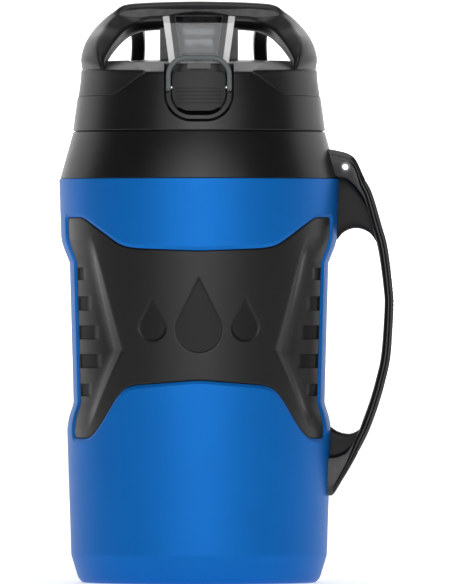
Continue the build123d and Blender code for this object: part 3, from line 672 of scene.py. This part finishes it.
SPOUT_HALF, SPOUT_FRONT, SPOUT_REAR, SPOUT_CORNER = 12.4, -43.5, -27.5, 6.0
SPOUT_GAP = 0.05
SKIN, WALL = 1.3, 3.6  # thickness behind the pocket and of the skirt
CEILING, CEILING_RISE = 261.0, 6.0  # height of the lid's inner roof at the wall, and its rise to the middle
CHEEK_EDGE = (45.0, 45.15, 45.4, 45.8)  # nominal angles over which a cheek's edge rolls over,
CHEEK_ROLL = (0.55, 0.2, 0.05, 0.0)  # and how far it lies back there
CHEEK_BROW = ((59.6, 265.85, 1), (60.6, 265.5, 1), (61.15, 264.9, 0.95), (61.38, 264.0, 0.85),
              (61.4, 262.9, 0.6))  # (r, z) from deck to skirt, and the share of the edge's rise


def lid_rows():
    """(r, z) from the middle of the deck out to the edge and down the skirt to its lower rim."""
    deck = [0.5, 8, 16, 24, 30, 36, 41, 45.2, 46.0, 48, 49.8, 50.35, POCKET_BACK_R, 50.6, 53, 56, 58.5, 59.6]
    rows = [(r, np.interp(r, DECK_R, DECK_Z)) for r in deck]
    rows += [(60.3, 264.83), (60.8, 264.5), (61.1, 264.1), (61.22, 263.5)]
    heights = list(np.linspace(262.5, 255.4, 7)) + [POCKET_STEP + 0.05, POCKET_STEP - 0.05, 253.4, 252.75]
    heights += [CHEEK_Z + 0.03, CHEEK_Z - 0.03, 252.3, 251.6] + list(np.linspace(250.4, 240.4, 11))
    heights += [239.5, POCKET_BOTTOM + 0.04, POCKET_BOTTOM, 238.77, 238.45, 237.6, 236.5, 235.6]
    rows += [(np.interp(z, SKIRT_Z, SKIRT_R), z) for z in heights]
    rim = [(65.55, 235.1), (65.3, 234.8), (64.8, 234.8), (64.7, 234.9), (64.7, 236.0), (62.2, 236.0)]
    return np.array(rows + rim)


def lid_columns():
    """Nominal angles of the lid's columns, with close pairs at the pocket's side and the cheek's edge."""
    half = np.concatenate([np.linspace(0, 15.2, 13), (15.8, 15.96, 16.0, 16.12, 16.45),
                           np.linspace(17.6, 44, 22), (44.6, 44.95, 45.05, 45.4), np.linspace(46.5, 90, 36)])
    rear = 180 - half[half > 44.0][-2::-1]
    rear = np.concatenate([rear, np.linspace(rear[-1] + 2, 180, 26)])
    return np.concatenate([half, rear])


def on_deck(r, z):
    """Whether a row lies on the deck, inside the rounded shoulder of the skirt."""
    return r < SKIRT_R[-1] and z > SKIRT_Z[-1] - 0.2


def lid_angles(nominal, r, z):
    """Turns nominal angles into real ones, so that columns follow the pocket's side and the cheek's edge."""
    pocket = math.degrees(math.asin(POCKET_HALF / max(r, POCKET_BACK_R)))
    x = np.interp(r, *zip(*CHEEK_DECK)) if on_deck(r, z) else np.interp(z, *zip(*CHEEK_X))
    cheek = math.degrees(math.asin(min(x / max(r, 45.2), 0.85)))
    return np.interp(nominal, PLAN, (0, pocket, cheek, 90, 180 - cheek, 180))


def lid_grid(rows, nominal, skin):
    """Points of the lid for one half; skin is 0 for the outside and the wall for the inside."""
    points = []
    for r, z in rows:
        angle = lid_angles(nominal, r, z)
        x, zz = r * np.sin(np.radians(angle)), np.full(angle.shape, float(z))
        if z < POCKET_STEP:
            x, zz = round_corner(x, zz, (POCKET_HALF, POCKET_BOTTOM), POCKET_CORNER, 1, -1, 3.4)
            radius = np.where(zz > 235.6, np.interp(zz, SKIRT_Z, SKIRT_R), r)
        else:
            radius = np.full(angle.shape, float(r))
        front = angle < 90
        y = np.sqrt(np.maximum(radius ** 2 - x ** 2, 0)) * np.where(front, -1, 1)
        pocket = (nominal < POCKET_SIDE) & (z > POCKET_BOTTOM + 0.02)
        if CHEEK_Z < z < SKIRT_Z[-1]:
            inner = (radius - CHEEK_LAYER) / radius
            cheek = (nominal > 45.0) & (nominal < 135.0)
            x, y = np.where(cheek, x * inner, x), np.where(cheek, y * inner, y)
        if pocket.any() and r > POCKET_BACK_R:
            depth_r = POCKET_BACK_R if z + 0.9 * skin > POCKET_STEP else POCKET_FLOOR_R
            sunk = -np.sqrt(np.maximum((depth_r - skin) ** 2 - x ** 2, 0))
            y = np.where(pocket, sunk, y)
            if on_deck(r, z):
                inward = (SKIRT_R[-1] - r) / (SKIRT_R[-1] - POCKET_BACK_R)
                top = np.interp(POCKET_BACK_R, DECK_R, DECK_Z)
                zz = np.where(pocket, SKIRT_Z[-1] + (top - SKIRT_Z[-1]) * inward, zz)
        points.append(np.stack([x, y, zz], -1))
    return np.array(points)


def both_halves(half):
    """Adds the mirrored half of a grid whose first and last columns lie on x = 0."""
    other = half[:, -2:0:-1] * np.array([-1, 1, 1])
    return np.concatenate([half, other], 1)


def prism(outline, low, high):
    """A closed upright prism from a plan outline."""
    count = len(outline)
    points = [(x, y, z) for z in (low, high) for x, y in outline]
    faces = grid_faces(2, count, True).tolist() + [list(range(count))[::-1], list(range(count, 2 * count))]
    return mesh_of("cutter", points, faces)


def spout_plan():
    """Rounded rectangle of the spout's opening, a little larger than the spout."""
    half, corner = SPOUT_HALF + SPOUT_GAP, SPOUT_CORNER + SPOUT_GAP
    front, rear = SPOUT_FRONT - SPOUT_GAP + corner, SPOUT_REAR + SPOUT_GAP - corner
    points = []
    for k, (sx, y) in enumerate(((1, front), (1, rear), (-1, rear), (-1, front))):
        centre = (sx * (half - corner), y)
        for t in np.linspace(0, 90, 7):
            a = math.radians(-90 + 90 * k + t)
            points.append((centre[0] + corner * math.cos(a), centre[1] + corner * math.sin(a)))
    return points


def cut(mesh, cutter):
    """The mesh with another mesh taken away from it."""
    body, tool = new_object("body", mesh), new_object("tool", cutter)
    step = body.modifiers.new("cut", "BOOLEAN")
    step.object = tool
    step.solver = "EXACT"
    made = bpy.data.meshes.new_from_object(body.evaluated_get(bpy.context.evaluated_depsgraph_get()))
    for item in (body, tool):
        bpy.data.objects.remove(item)
    return made


def lid_body():
    """The lid's shell: outer surface, inner skin and roof, with the spout's opening cut through."""
    nominal = lid_columns()
    outside = lid_grid(lid_rows(), nominal, 0.0)
    heights = (236.0, 237.3, 237.4, 246.0, POCKET_STEP - 1.2, POCKET_STEP - 1.1, 260.5)
    inside = lid_grid([(np.interp(z, SKIRT_Z, SKIRT_R), z) for z in heights], nominal, SKIN)
    radius = np.hypot(inside[..., 0], inside[..., 1])
    beside = (nominal >= POCKET_SIDE) | (inside[..., 2] < 237.35)
    shrink = np.where(beside, (radius - WALL) / radius, 1.0)
    inside[..., :2] *= shrink[..., None]
    under = []
    for share in (0.97, 0.6, 0.02):
        last = inside[-1].copy()
        last[:, :2] *= share
        last[:, 2] = CEILING + CEILING_RISE * (1 - share)
        under.append(last)
    half = np.concatenate([outside, inside, np.array(under)])
    whole = grid_mesh("lid_body", [both_halves(half)])
    place("lid_body", cut(whole, prism(spout_plan(), 240, 280)), "lid_shell", 35)


def lid_cheeks():
    """The handle's skirts over both sides of the lid, closed sheets with rolled edges."""
    half = np.array([*CHEEK_EDGE, *np.linspace(47, 90, 32)])
    nominal = np.concatenate([half, 180 - half[-2::-1]])
    side_roll = np.interp(np.minimum(nominal, 180 - nominal), CHEEK_EDGE, CHEEK_ROLL)
    front, back = [], []
    for r in (46.2, 46.4, 46.8, 47.5, 50, 53, 56, 58.6):
        z = np.interp(r, DECK_R, DECK_Z) + CHEEK_RISE
        angle = lid_angles(nominal, r, z)
        lift = rise_of_edge(angle) * smooth((r - 48) / 11)
        drop = np.maximum(side_roll, np.interp(r, (46.2, 46.4, 46.8, 47.5), CHEEK_ROLL))
        front.append(on_body(angle, r, z + lift - drop))
        back.append(on_body(angle, r, z - CHEEK_RISE + 0.02))
    for r, z, share in CHEEK_BROW:
        angle = lid_angles(nominal, min(r, 61.1), z)
        front.append(on_body(angle, r - side_roll, z + rise_of_edge(angle) * share))
        back.append(on_body(angle, min(r, 59.8), z - 1.6))
    for z in (261.5, 259.5, 257.5, 255.5, 254.0, 253.3, 252.8, 252.6, CHEEK_Z):
        r = np.interp(z, (CHEEK_Z, 262.4), (62.75, 61.4))
        angle = lid_angles(nominal, r, z)
        drop = np.maximum(side_roll, np.interp(z, (CHEEK_Z, 252.6, 252.8, 253.3), CHEEK_ROLL))
        front.append(on_body(angle, r - drop, z))
        back.append(on_body(angle, r - CHEEK_LAYER + 0.4, z))
    return [closed_sheet("cheek", np.array(front) * flip, np.array(back) * flip, 4)
            for flip in ((1, 1, 1), (-1, 1, 1))]


def rise_of_edge(angle):
    """The cheeks' upper edge climbs towards the sides of the lid."""
    return 1.6 * np.sin(np.radians(angle)) ** 2 - 0.3


# Sections of the carry handle from foot to crown: silhouette, front edge, crease and opening (x, z),
# then the front and rear faces (y).
ARCH = (
    ((61.3, 259.0), (47.6, 259.0), (46.0, 259.0), (45.5, 259.0), -37.5, 37.0),
    ((61.5, 266.0), (50.6, 266.5), (48.2, 265.5), (47.4, 265.0), -34.0, 35.6),
    ((61.5, 271.5), (51.7, 272.8), (48.9, 270.8), (47.7, 270.4), -30.0, 36.2),
    ((60.8, 276.0), (52.3, 278.8), (46.4, 276.9), (44.6, 275.6), -21.0, 36.2),
    ((58.6, 281.9), (51.2, 284.4), (42.6, 282.8), (40.7, 280.2), -11.5, 33.8),
    ((54.4, 288.2), (48.3, 289.3), (38.4, 287.7), (36.6, 283.7), -2.0, 30.0),
    ((49.1, 293.7), (44.2, 293.9), (33.2, 290.7), (31.0, 286.3), 4.0, 27.2),
    ((44.3, 297.3), (41.3, 295.6), (29.6, 291.6), (27.4, 286.9), 5.6, 26.4),
    ((39.2, 300.6), (37.3, 297.3), (26.0, 292.0), (24.0, 287.2), 6.1, 26.0),
    ((29.2, 301.8), (29.0, 299.1), (21.0, 292.1), (19.6, 287.5), 6.1, 26.0),
    ((12.4, 302.4), (12.4, 300.0), (10.0, 292.1), (9.4, 287.5), 6.1, 26.0),
    ((0.0, 302.6), (0.0, 300.3), (0.0, 292.1), (0.0, 287.5), 6.1, 26.0))
FOOT_POWER, CROWN_POWER, INNER_POWER = 2.4, 2.6, 2.6  # how square the sections are
CROWN_LEAN = 3.2  # the crown's front face leans back towards the top
FOOT_LIMIT = ((259.0, 266.0, 273.0, 280.0), (59.9, 60.6, 61.6, 64.0))  # the feet stay inside the lid's edge


def through(points, per):
    """A smooth line through key points (Catmull-Rom), with per steps between neighbours."""
    keys = np.array(points, float)
    ends = np.concatenate([[2 * keys[0] - keys[1]], keys, [2 * keys[-1] - keys[-2]]])
    line = []
    for i in range(len(keys) - 1):
        a, b, c, d = ends[i:i + 4]
        for t in np.arange(per) / per:
            line.append(0.5 * (2 * b + (c - a) * t + (2 * a - 5 * b + 4 * c - d) * t ** 2
                               + (3 * b - a - 3 * c + d) * t ** 3))
    return np.array(line + [keys[-1]])


def arch_section(key, crown):
    """Closed outline of the carry handle at one place: front face, outer skin, rear face and underside."""
    sx, sz, px, pz, cx, cz, ox, oz, front, rear = key
    outer_power = FOOT_POWER + CROWN_POWER * crown
    lean = CROWN_LEAN * crown
    loop = [((px + cx) / 2, front + lean / 2, (pz + cz) / 2)]
    turns = np.linspace(0, 1, 15)
    for t in turns:
        bulge = 1 - abs(2 * t - 1) ** outer_power
        x, y = px + (sx - px) * bulge, front + lean * (1 - t) + (rear - front) * t
        limit = np.interp(pz, *FOOT_LIMIT)
        if math.hypot(x, y) > limit:
            x = math.sqrt(max(limit ** 2 - y ** 2, cx ** 2))
        loop.append((x, y, pz + (sz - pz) * bulge))
    loop.append(((px + cx) / 2, rear, (pz + cz) / 2))
    for t in turns[::-1]:
        bulge = 1 - abs(2 * t - 1) ** INNER_POWER
        loop.append((cx + (ox - cx) * bulge, front + (rear - front) * t, cz + (oz - cz) * bulge))
    return np.array(loop)


def ease_loop(loop, passes):
    """Rounds the corners of closed sections a little by averaging neighbouring points."""
    for _ in range(passes):
        loop = loop * 0.6 + (np.roll(loop, 1, 1) + np.roll(loop, -1, 1)) * 0.2
    return loop


def densify(loop, per):
    """Splits every side of closed sections into equal steps."""
    following = np.roll(loop, -1, 1)
    steps = [loop + (following - loop) * t for t in np.arange(per) / per]
    return np.stack(steps, 2).reshape(loop.shape[0], -1, 3)


def carry_arch():
    """The carry handle: an arch lofted through its sections and mirrored, with the cheeks at its feet."""
    keys = [(*s, *p, *c, *o, front, rear) for s, p, c, o, front, rear in ARCH]
    line = through(keys, 6)
    crown = smooth((line[:, 1] - 290) / 12)
    half = np.array([arch_section(key, k) for key, k in zip(line, crown)])
    half = ease_loop(densify(half, 3), 2)
    half[-1, :, 0] = 0
    other = half[-2::-1] * np.array([-1, 1, 1])
    loft = grid_mesh("arch", [np.concatenate([half, other])])
    place("carry_arch", joined("carry_arch", [loft, *lid_cheeks()]), "carry_handle", 50)


def turns(count):
    """Equally spaced angles once round, in radians."""
    return np.linspace(0, 2 * math.pi, count, endpoint=False)


# ---------------------------------------------------------------- side handle
# Matching places along the strap's outer and inner edges (x, z), from the collar to the foot.
STRAP_OUTER = ((64.0, 225.3), (68.2, 225.1), (72.5, 224.3), (77.9, 222.7), (81.7, 219.2), (85.9, 210.2),
               (90.0, 202.2), (94.9, 185.8), (98.3, 172.9), (100.7, 153.1), (101.15, 142.0), (99.6, 118.2),
               (96.9, 105.0), (93.6, 93.3), (90.0, 83.1), (86.7, 75.4), (79.7, 62.2), (74.7, 53.8),
               (69.9, 46.1), (66.9, 45.3), (64.0, 45.3))
STRAP_INNER = ((66.0, 211.6), (70.6, 211.2), (73.0, 211.0), (76.4, 210.0), (79.2, 208.0), (82.2, 204.6),
               (86.0, 198.8), (90.2, 184.6), (93.4, 171.8), (96.0, 152.8), (96.4, 142.0), (94.8, 119.2),
               (92.2, 106.4), (89.0, 95.0), (85.6, 85.4), (82.6, 77.6), (77.4, 68.6), (73.6, 66.0),
               (69.6, 64.9), (66.9, 64.8), (64.0, 64.8))
WEB_UPPER = ((64.0, 212.0), (71.4, 211.1), (76.5, 210.0), (80.5, 207.1), (84.5, 201.6), (87.9, 195.5),
             (90.4, 188.5), (92.6, 178.0))
WEB_UPPER_EDGE = ((64.0, 174.0), (71.4, 178.0), (74.4, 181.3), (77.9, 183.4), (81.7, 184.1), (85.5, 183.4),
                  (89.2, 181.2), (92.0, 177.3))
WEB_LOWER = ((64.0, 64.6), (69.0, 64.7), (73.0, 65.6), (76.4, 67.6), (79.6, 70.7), (82.0, 73.8), (84.0, 77.4))
WEB_LOWER_EDGE = ((64.0, 84.0), (68.6, 81.0), (71.5, 79.0), (75.0, 77.8), (78.6, 77.5), (82.0, 78.8),
                  (84.4, 80.6))
STRAP_HALF = 11.5
STRIP_DEPTH = 1.6
GROOVES = ((1.65, 2.4), (3.15, 4.4))  # distances in from the outer edge
GROOVE_DEPTH = 1.3
GROOVED_FROM, GROOVED_TO = 3.0, 18.2  # the grooves' ends, in key places along the strap
GROOVE_SHADED = (1.6, 0.9)  # depths below the strap's side between which its grooves get painted shade
WEB_SHADE, WEB_SHADED = 0.6, 7.0  # how much painted shade the webs get, within this distance of the middle
STRIP_FROM, STRIP_TO = 5.15, 15.6  # the soft strip's ends, in key places along the strap
BUMPS = (178, 123)  # the strip's fine ribs lie between these heights
RIB_HEIGHT, RIB_PITCH = 0.28, 2.2
EYE = (76.1, 216.1)
EYE_R = 2.12
WEB_THICK = 4.6


def along_strap(per):
    """For each step along the strap: its place among the keys, outer point, way inwards and depth."""
    outer, inner = through(STRAP_OUTER, per), through(STRAP_INNER, per)
    for step, (point, facing) in enumerate(zip(outer, inner)):
        deep = math.hypot(*(facing - point))
        yield step / per, point, (facing - point) / deep, deep


def strap_loop(side, point, way):
    """A closed section from its half outline, given as depths from the outer edge and distances y."""
    loop = side + [(d, -y) for d, y in side[-2:0:-1]]
    return [(point[0] + way[0] * d, y, point[1] + way[1] * d) for d, y in loop]


def strap_sections():
    """Closed sections of the strap: two grooved sides, a flat inner face and a bed for the soft strip."""
    sections = []
    (g0, g1), (g2, g3) = GROOVES
    wall = 0.06
    for k, point, way, deep in along_strap(10):
        strip = smooth((k - STRIP_FROM) / 0.12) * smooth((STRIP_TO - k) / 0.12)
        grooved = smooth((k - GROOVED_FROM) / 1.2) * smooth((GROOVED_TO - k) / 0.8)
        start, floor = STRIP_DEPTH * strip, STRAP_HALF - GROOVE_DEPTH * grooved
        side = [(start, 0), (start, 6), (start, 10.2), (start + 0.02, floor - 0.4 * strip),
                (max(g0 - wall, start + 0.1), floor if strip > 0.5 else STRAP_HALF),
                (g0 + 0.1, floor), (g1 - wall, floor), (g1, STRAP_HALF - 0.15), (g1 + 0.12, STRAP_HALF),
                (g2 - 0.12, STRAP_HALF), (g2, STRAP_HALF - 0.15), (g2 + wall, floor), (g3 - wall, floor),
                (g3, STRAP_HALF - 0.15), (g3 + 0.12, STRAP_HALF), (deep - 0.25, STRAP_HALF),
                (deep - 0.06, STRAP_HALF - 0.12), (deep, STRAP_HALF - 0.4), (deep, 6), (deep, 0)]
        sections.append(strap_loop([(min(d, deep), y) for d, y in side], point, way))
    return np.array(sections)


def web(arc, edge, thick):
    """A dished plate between the strap's arc and the rounded edge of the hand opening."""
    a, b = through(arc, 6), through(edge, 6)
    shares = (0, 0.03, 0.07, 0.13, 0.2, 0.35, 0.55, 0.75, 0.86, 0.93, 0.97, 0.99, 1.0)
    waist = np.array((2.6, 1.2, 0.45, 0.1, 0, -0.1, -0.1, 0, -0.1, -0.6, -1.5, -2.6, -thick)) + thick
    sections = []
    for p, q in zip(a, b):
        front = [(p + (q - p) * t, -w) for t, w in zip(shares, waist)]
        loop = front + [(c, -w) for c, w in front[-2::-1]]
        sections.append([(c[0], y, c[1]) for c, y in loop])
    return np.array(sections)


def side_handle():
    """The side handle: strap with the cord hole cut through, and its two webs."""
    strap = grid_mesh("strap", [strap_sections()])
    hole = prism([(EYE[0] + EYE_R * math.cos(a), EYE[1] + EYE_R * math.sin(a)) for a in turns(32)], -20, 20)
    hole.transform(((1, 0, 0, 0), (0, 0, 1, 0), (0, 1, 0, 0), (0, 0, 0, 1)))
    hole.flip_normals()
    upper = grid_mesh("strap", [web(WEB_UPPER, WEB_UPPER_EDGE, WEB_THICK)])
    lower = grid_mesh("strap", [web(WEB_LOWER, WEB_LOWER_EDGE, WEB_THICK)])
    mesh = joined("side_grip", [cut(strap, hole), upper, lower])
    # Painted shade, with a duller finish, in the strap's grooves and on the webs, carried in the sunk
    # attribute.
    low, high = (STRAP_HALF - share for share in GROOVE_SHADED)
    aside = np.array([abs(v.co.y) for v in mesh.vertices])
    deep = np.where((aside > low) & (aside < high), 1.0, WEB_SHADE * (aside < WEB_SHADED))
    mesh.attributes.new("sunk", "FLOAT", "POINT").data.foreach_set("value", deep.astype(np.float32))
    place("side_grip", mesh, "side_handle", 40)


def soft_strip():
    """The soft strip along the strap's outer edge, with fine ribs where the fingers press."""
    sections = []
    for k, point, way, _ in along_strap(48):
        if not STRIP_FROM <= k <= STRIP_TO:
            continue
        ribbed = smooth((BUMPS[0] - point[1]) / 6) * smooth((point[1] - BUMPS[1]) / 6)
        rib = RIB_HEIGHT * ribbed * (0.5 + 0.5 * math.cos(2 * math.pi * point[1] / RIB_PITCH))
        roll = 0.3 * (1 - smooth(min(k - STRIP_FROM, STRIP_TO - k) / 0.08))
        side = [(rib + roll, 0), (rib + roll, 4), (rib + roll, 8), (rib * 0.5 + roll + 0.05, 9.6),
                (0.3 + roll, 10.35), (0.7, 10.75 - roll), (1.2, 10.8 - roll),
                (STRIP_DEPTH + 0.05, 10.6 - roll), (STRIP_DEPTH + 0.05, 0)]
        sections.append(strap_loop(side, point, way))
    place("soft_strip", grid_mesh("soft_strip", [np.array(sections)]), "handle_grip_strip", 50)


def eyelet():
    """The dark lining of the cord hole, with rounded lips."""
    lip = ((1.57, 11.0), (1.6, 11.35), (1.75, 11.52), (2.05, 11.58), (2.3, 11.55), (2.3, 11.4), (2.1, 11.3))
    outline = [(r, -y) for r, y in lip[2:]] + [*lip[::-1]] + [(r, -y) for r, y in lip[:3]]
    sections = [[(EYE[0] + r * math.cos(a), y, EYE[1] + r * math.sin(a)) for a in turns(40)]
                for r, y in outline]
    place("hole_lining", grid_mesh("hole_lining", [np.array(sections)]), "handle_eyelet", 40)


# ---------------------------------------------------------------- lock ring and its pins
RING_HALF, RING_BAND, RING_CORNER = 17.05, 2.6, 10.5
RING_LOW, RING_HIGH = 254.7, 273.2
RING_FACE, RING_BACK = -62.2, -59.4
RING_EDGE = 0.55
RING_TIP = ((0, 0.7), (0.05, 0.45), (0.25, 0.15), (0.6, 0), (2, 0), (5, 0))  # height and taper
PIN_R = 0.72
PIN_AT = (-60.8, 256.6)
PIN_FROM = 13.3


def lock_ring():
    """An upturned U with square edges taken off."""
    half = RING_HALF - RING_BAND / 2
    top = RING_HIGH - RING_BAND / 2
    corner = RING_CORNER - RING_BAND / 2
    leg = [((half, RING_LOW + t), (1, 0), taper) for t, taper in RING_TIP]
    track = list(leg)
    for sx, start in ((1, 0), (-1, 90)):
        for a in np.radians(np.linspace(start, start + 90, 19)):
            ax, az = math.cos(a), math.sin(a)
            track.append(((sx * (half - corner) + corner * ax, top - corner + corner * az), (ax, az), 0))
    track += [((-x, z), (-a, b), taper) for (x, z), (a, b), taper in leg[::-1]]
    sections = []
    e = RING_EDGE
    for (x, z), (ax, az), taper in track:
        w, low, high = RING_BAND / 2 - taper, RING_FACE + taper, RING_BACK - taper
        side = [(w - e, low), (w - e / 3, low + e / 4), (w, low + e),
                (w, high - e), (w - e / 3, high - e / 4), (w - e, high)]
        outline = side + [(-u, y) for u, y in side[::-1]]
        sections.append([(x + ax * u, y, z + az * u) for u, y in outline])
    place("lock_hoop", grid_mesh("lock_hoop", [np.array(sections)]), "lock_ring", 40)


def ring_pins():
    """Two short steel pins with domed inner ends."""
    profile = ((0, 0.05), (0.03, 0.35), (0.12, 0.55), (0.3, 0.68), (0.5, 1), (0.6, 1), (3.3, 1), (3.3, 0.05))
    grids = [np.array([[(side * (PIN_FROM + along), PIN_AT[0] + PIN_R * share * math.cos(a),
                         PIN_AT[1] + PIN_R * share * math.sin(a)) for a in turns(28)]
                       for along, share in profile]) for side in (1, -1)]
    place("hoop_pins", grid_mesh("hoop_pins", grids), "ring_pins", 50)


SPRING_X, SPRING_Z, SPRING_R, SPRING_WIRE, SPRING_TURNS = 9.0, 260.0, 2.2, 0.3, 3
SPRING_Y = (-54.45, -50.35)


def return_springs():
    """The two coil springs behind the button, as a piece with a mesh of its own."""
    grids = []
    for side in (1, -1):
        sections = []
        for share in np.linspace(0, 1, 28 * SPRING_TURNS):
            a = 2 * math.pi * SPRING_TURNS * share
            y = SPRING_Y[0] + (SPRING_Y[1] - SPRING_Y[0]) * share
            wire = [(SPRING_R + SPRING_WIRE * math.cos(b), SPRING_WIRE * math.sin(b)) for b in turns(8)]
            sections.append([(side * SPRING_X + r * math.cos(a), y + along, SPRING_Z + r * math.sin(a))
                             for r, along in wire])
        grids.append(np.array(sections))
    piece = place("return_springs", grid_mesh("return_springs", grids), "button_springs", 60)
    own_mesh(piece)


# ---------------------------------------------------------------- moulded edges on CAD pieces
EASED = {
    "push_button": 0.35, "button_bezel": 0.3, "spout_cover": 0.45, "hinge_bracket": 0.8,
    "fence_hooks": 0.3, "cover_pin": 0.2, "drink_spout": 0.3, "vent_valve": 0.2,
    "foam_fill_plug": 0.4,
}


def ease_edges():
    """Small radii on the edges of the CAD pieces that stay in view."""
    for name, width in EASED.items():
        bevel = NODES[name].modifiers.new("eased", "BEVEL")
        bevel.width = width * MM
        bevel.segments = 3
        bevel.limit_method = "ANGLE"
        bevel.angle_limit = math.radians(35)
        NODES[name].modifiers.new("level", "WEIGHTED_NORMAL")


# ---------------------------------------------------------------- studio
VIEW_MM = 303.7  # height that the picture covers at the jug's axis
VIEW_CENTRE = (0.0140, 0.1510)
CAMERA_FAR = 8.0
FLOOR_HALF, FLOOR_FRONT, FLOOR_BACK = 6, -9, 3
WALL_HALF, WALL_Y, WALL_TOP = 12, 22, 13
SWEEP_FRONT, SWEEP_Z = 2.5, -0.001  # the sweep starts just under the floor


def camera():
    data = bpy.data.cameras.new("camera")
    data.sensor_width = 36.0
    data.lens = data.sensor_width * CAMERA_FAR / (VIEW_MM * MM)
    data.clip_end = 100.0
    rig = new_object("camera", data)
    rig.location = (VIEW_CENTRE[0], -CAMERA_FAR, VIEW_CENTRE[1])
    rig.rotation_euler = (math.radians(90), 0, 0)
    bpy.context.scene.camera = rig


# Name, place, height aimed at, size and power of each lamp.
LAMPS = (
    ("key", (0.02, -2.0, 0.60), 0.17, (1.1, 1.55), 8),
    ("key_wide", (0.02, -2.1, 0.60), 0.17, (3.0, 1.55), 20),
    ("rim_left", (-1.5, 1.15, 0.45), 0.17, (1.5, 1.5), 7),
    ("rim_right", (1.6, 1.05, 0.45), 0.17, (1.7, 1.5), 8),
    ("back_top", (0, 2.4, 1.6), 0.25, (1.8, 1.8), 22),
    ("top", (0, -0.2, 1.9), 0.2, (1.0, 0.8), 6),
)


def area_light(name, spot, aim_height, size, power):
    data = bpy.data.lights.new(name, "AREA")
    data.shape = "RECTANGLE"
    data.size, data.size_y = size
    data.energy = power
    lamp = new_object(name, data)
    lamp.location = spot
    aim = Vector((0, 0, aim_height)) - Vector(spot)
    lamp.rotation_euler = aim.to_track_quat("-Z", "Y").to_euler()


def flat(name, half, near, far, material):
    """A rectangle, square to the view, between its near and far (y, z)."""
    mesh = bpy.data.meshes.new(name)
    mesh.from_pydata([(-half, *near), (half, *near), (half, *far), (-half, *far)], [], [(0, 1, 2, 3)])
    mesh.materials.append(material)
    new_object(name, mesh)


def pale(name):
    """A white that glows by itself, so that it stays plain behind the jug."""
    material, tree, shader = new_material(name)
    connect(tree, shader, {"Base Color": (0.9, 0.9, 0.9), "Roughness": 0.9, "Emission Color": (1, 1, 1),
                           "Emission Strength": 1.0})
    return material, tree, shader


def studio():
    """A pale floor whose glow rises behind the jug, a sweep and a wall far behind it, and the lamps."""
    scene = bpy.context.scene
    scene.view_settings.view_transform = "Standard"
    scene.world = bpy.data.worlds.new("studio")
    scene.world.use_nodes = True
    tree = scene.world.node_tree
    connect(tree, tree.nodes["Background"], {"Color": (1, 1, 1), "Strength": 0.04})
    floor, tree, shader = pale("pale_floor")
    connect(tree, shader, {"Emission Strength": ramp(tree, coordinate(tree, "Y"), 0.5, 1.0, 1.2, 2.8)})
    flat("floor", FLOOR_HALF, (FLOOR_FRONT, 0), (FLOOR_BACK, 0), floor)
    wall = pale("pale_wall")[0]
    flat("sweep", WALL_HALF, (SWEEP_FRONT, SWEEP_Z), (WALL_Y, SWEEP_Z), wall)
    flat("wall", WALL_HALF, (WALL_Y, -0.01), (WALL_Y, WALL_TOP), wall)
    for lamp in LAMPS:
        area_light(*lamp)


camera()
MATERIALS = make_materials()
dress()
blue_shell()
grip_panel("front_panel", "front_grip", 0)
grip_panel("rear_panel", "rear_grip", 180)
collar()
lid_body()
carry_arch()
side_handle()
soft_strip()
eyelet()
lock_ring()
ring_pins()
return_springs()
ease_edges()
studio()
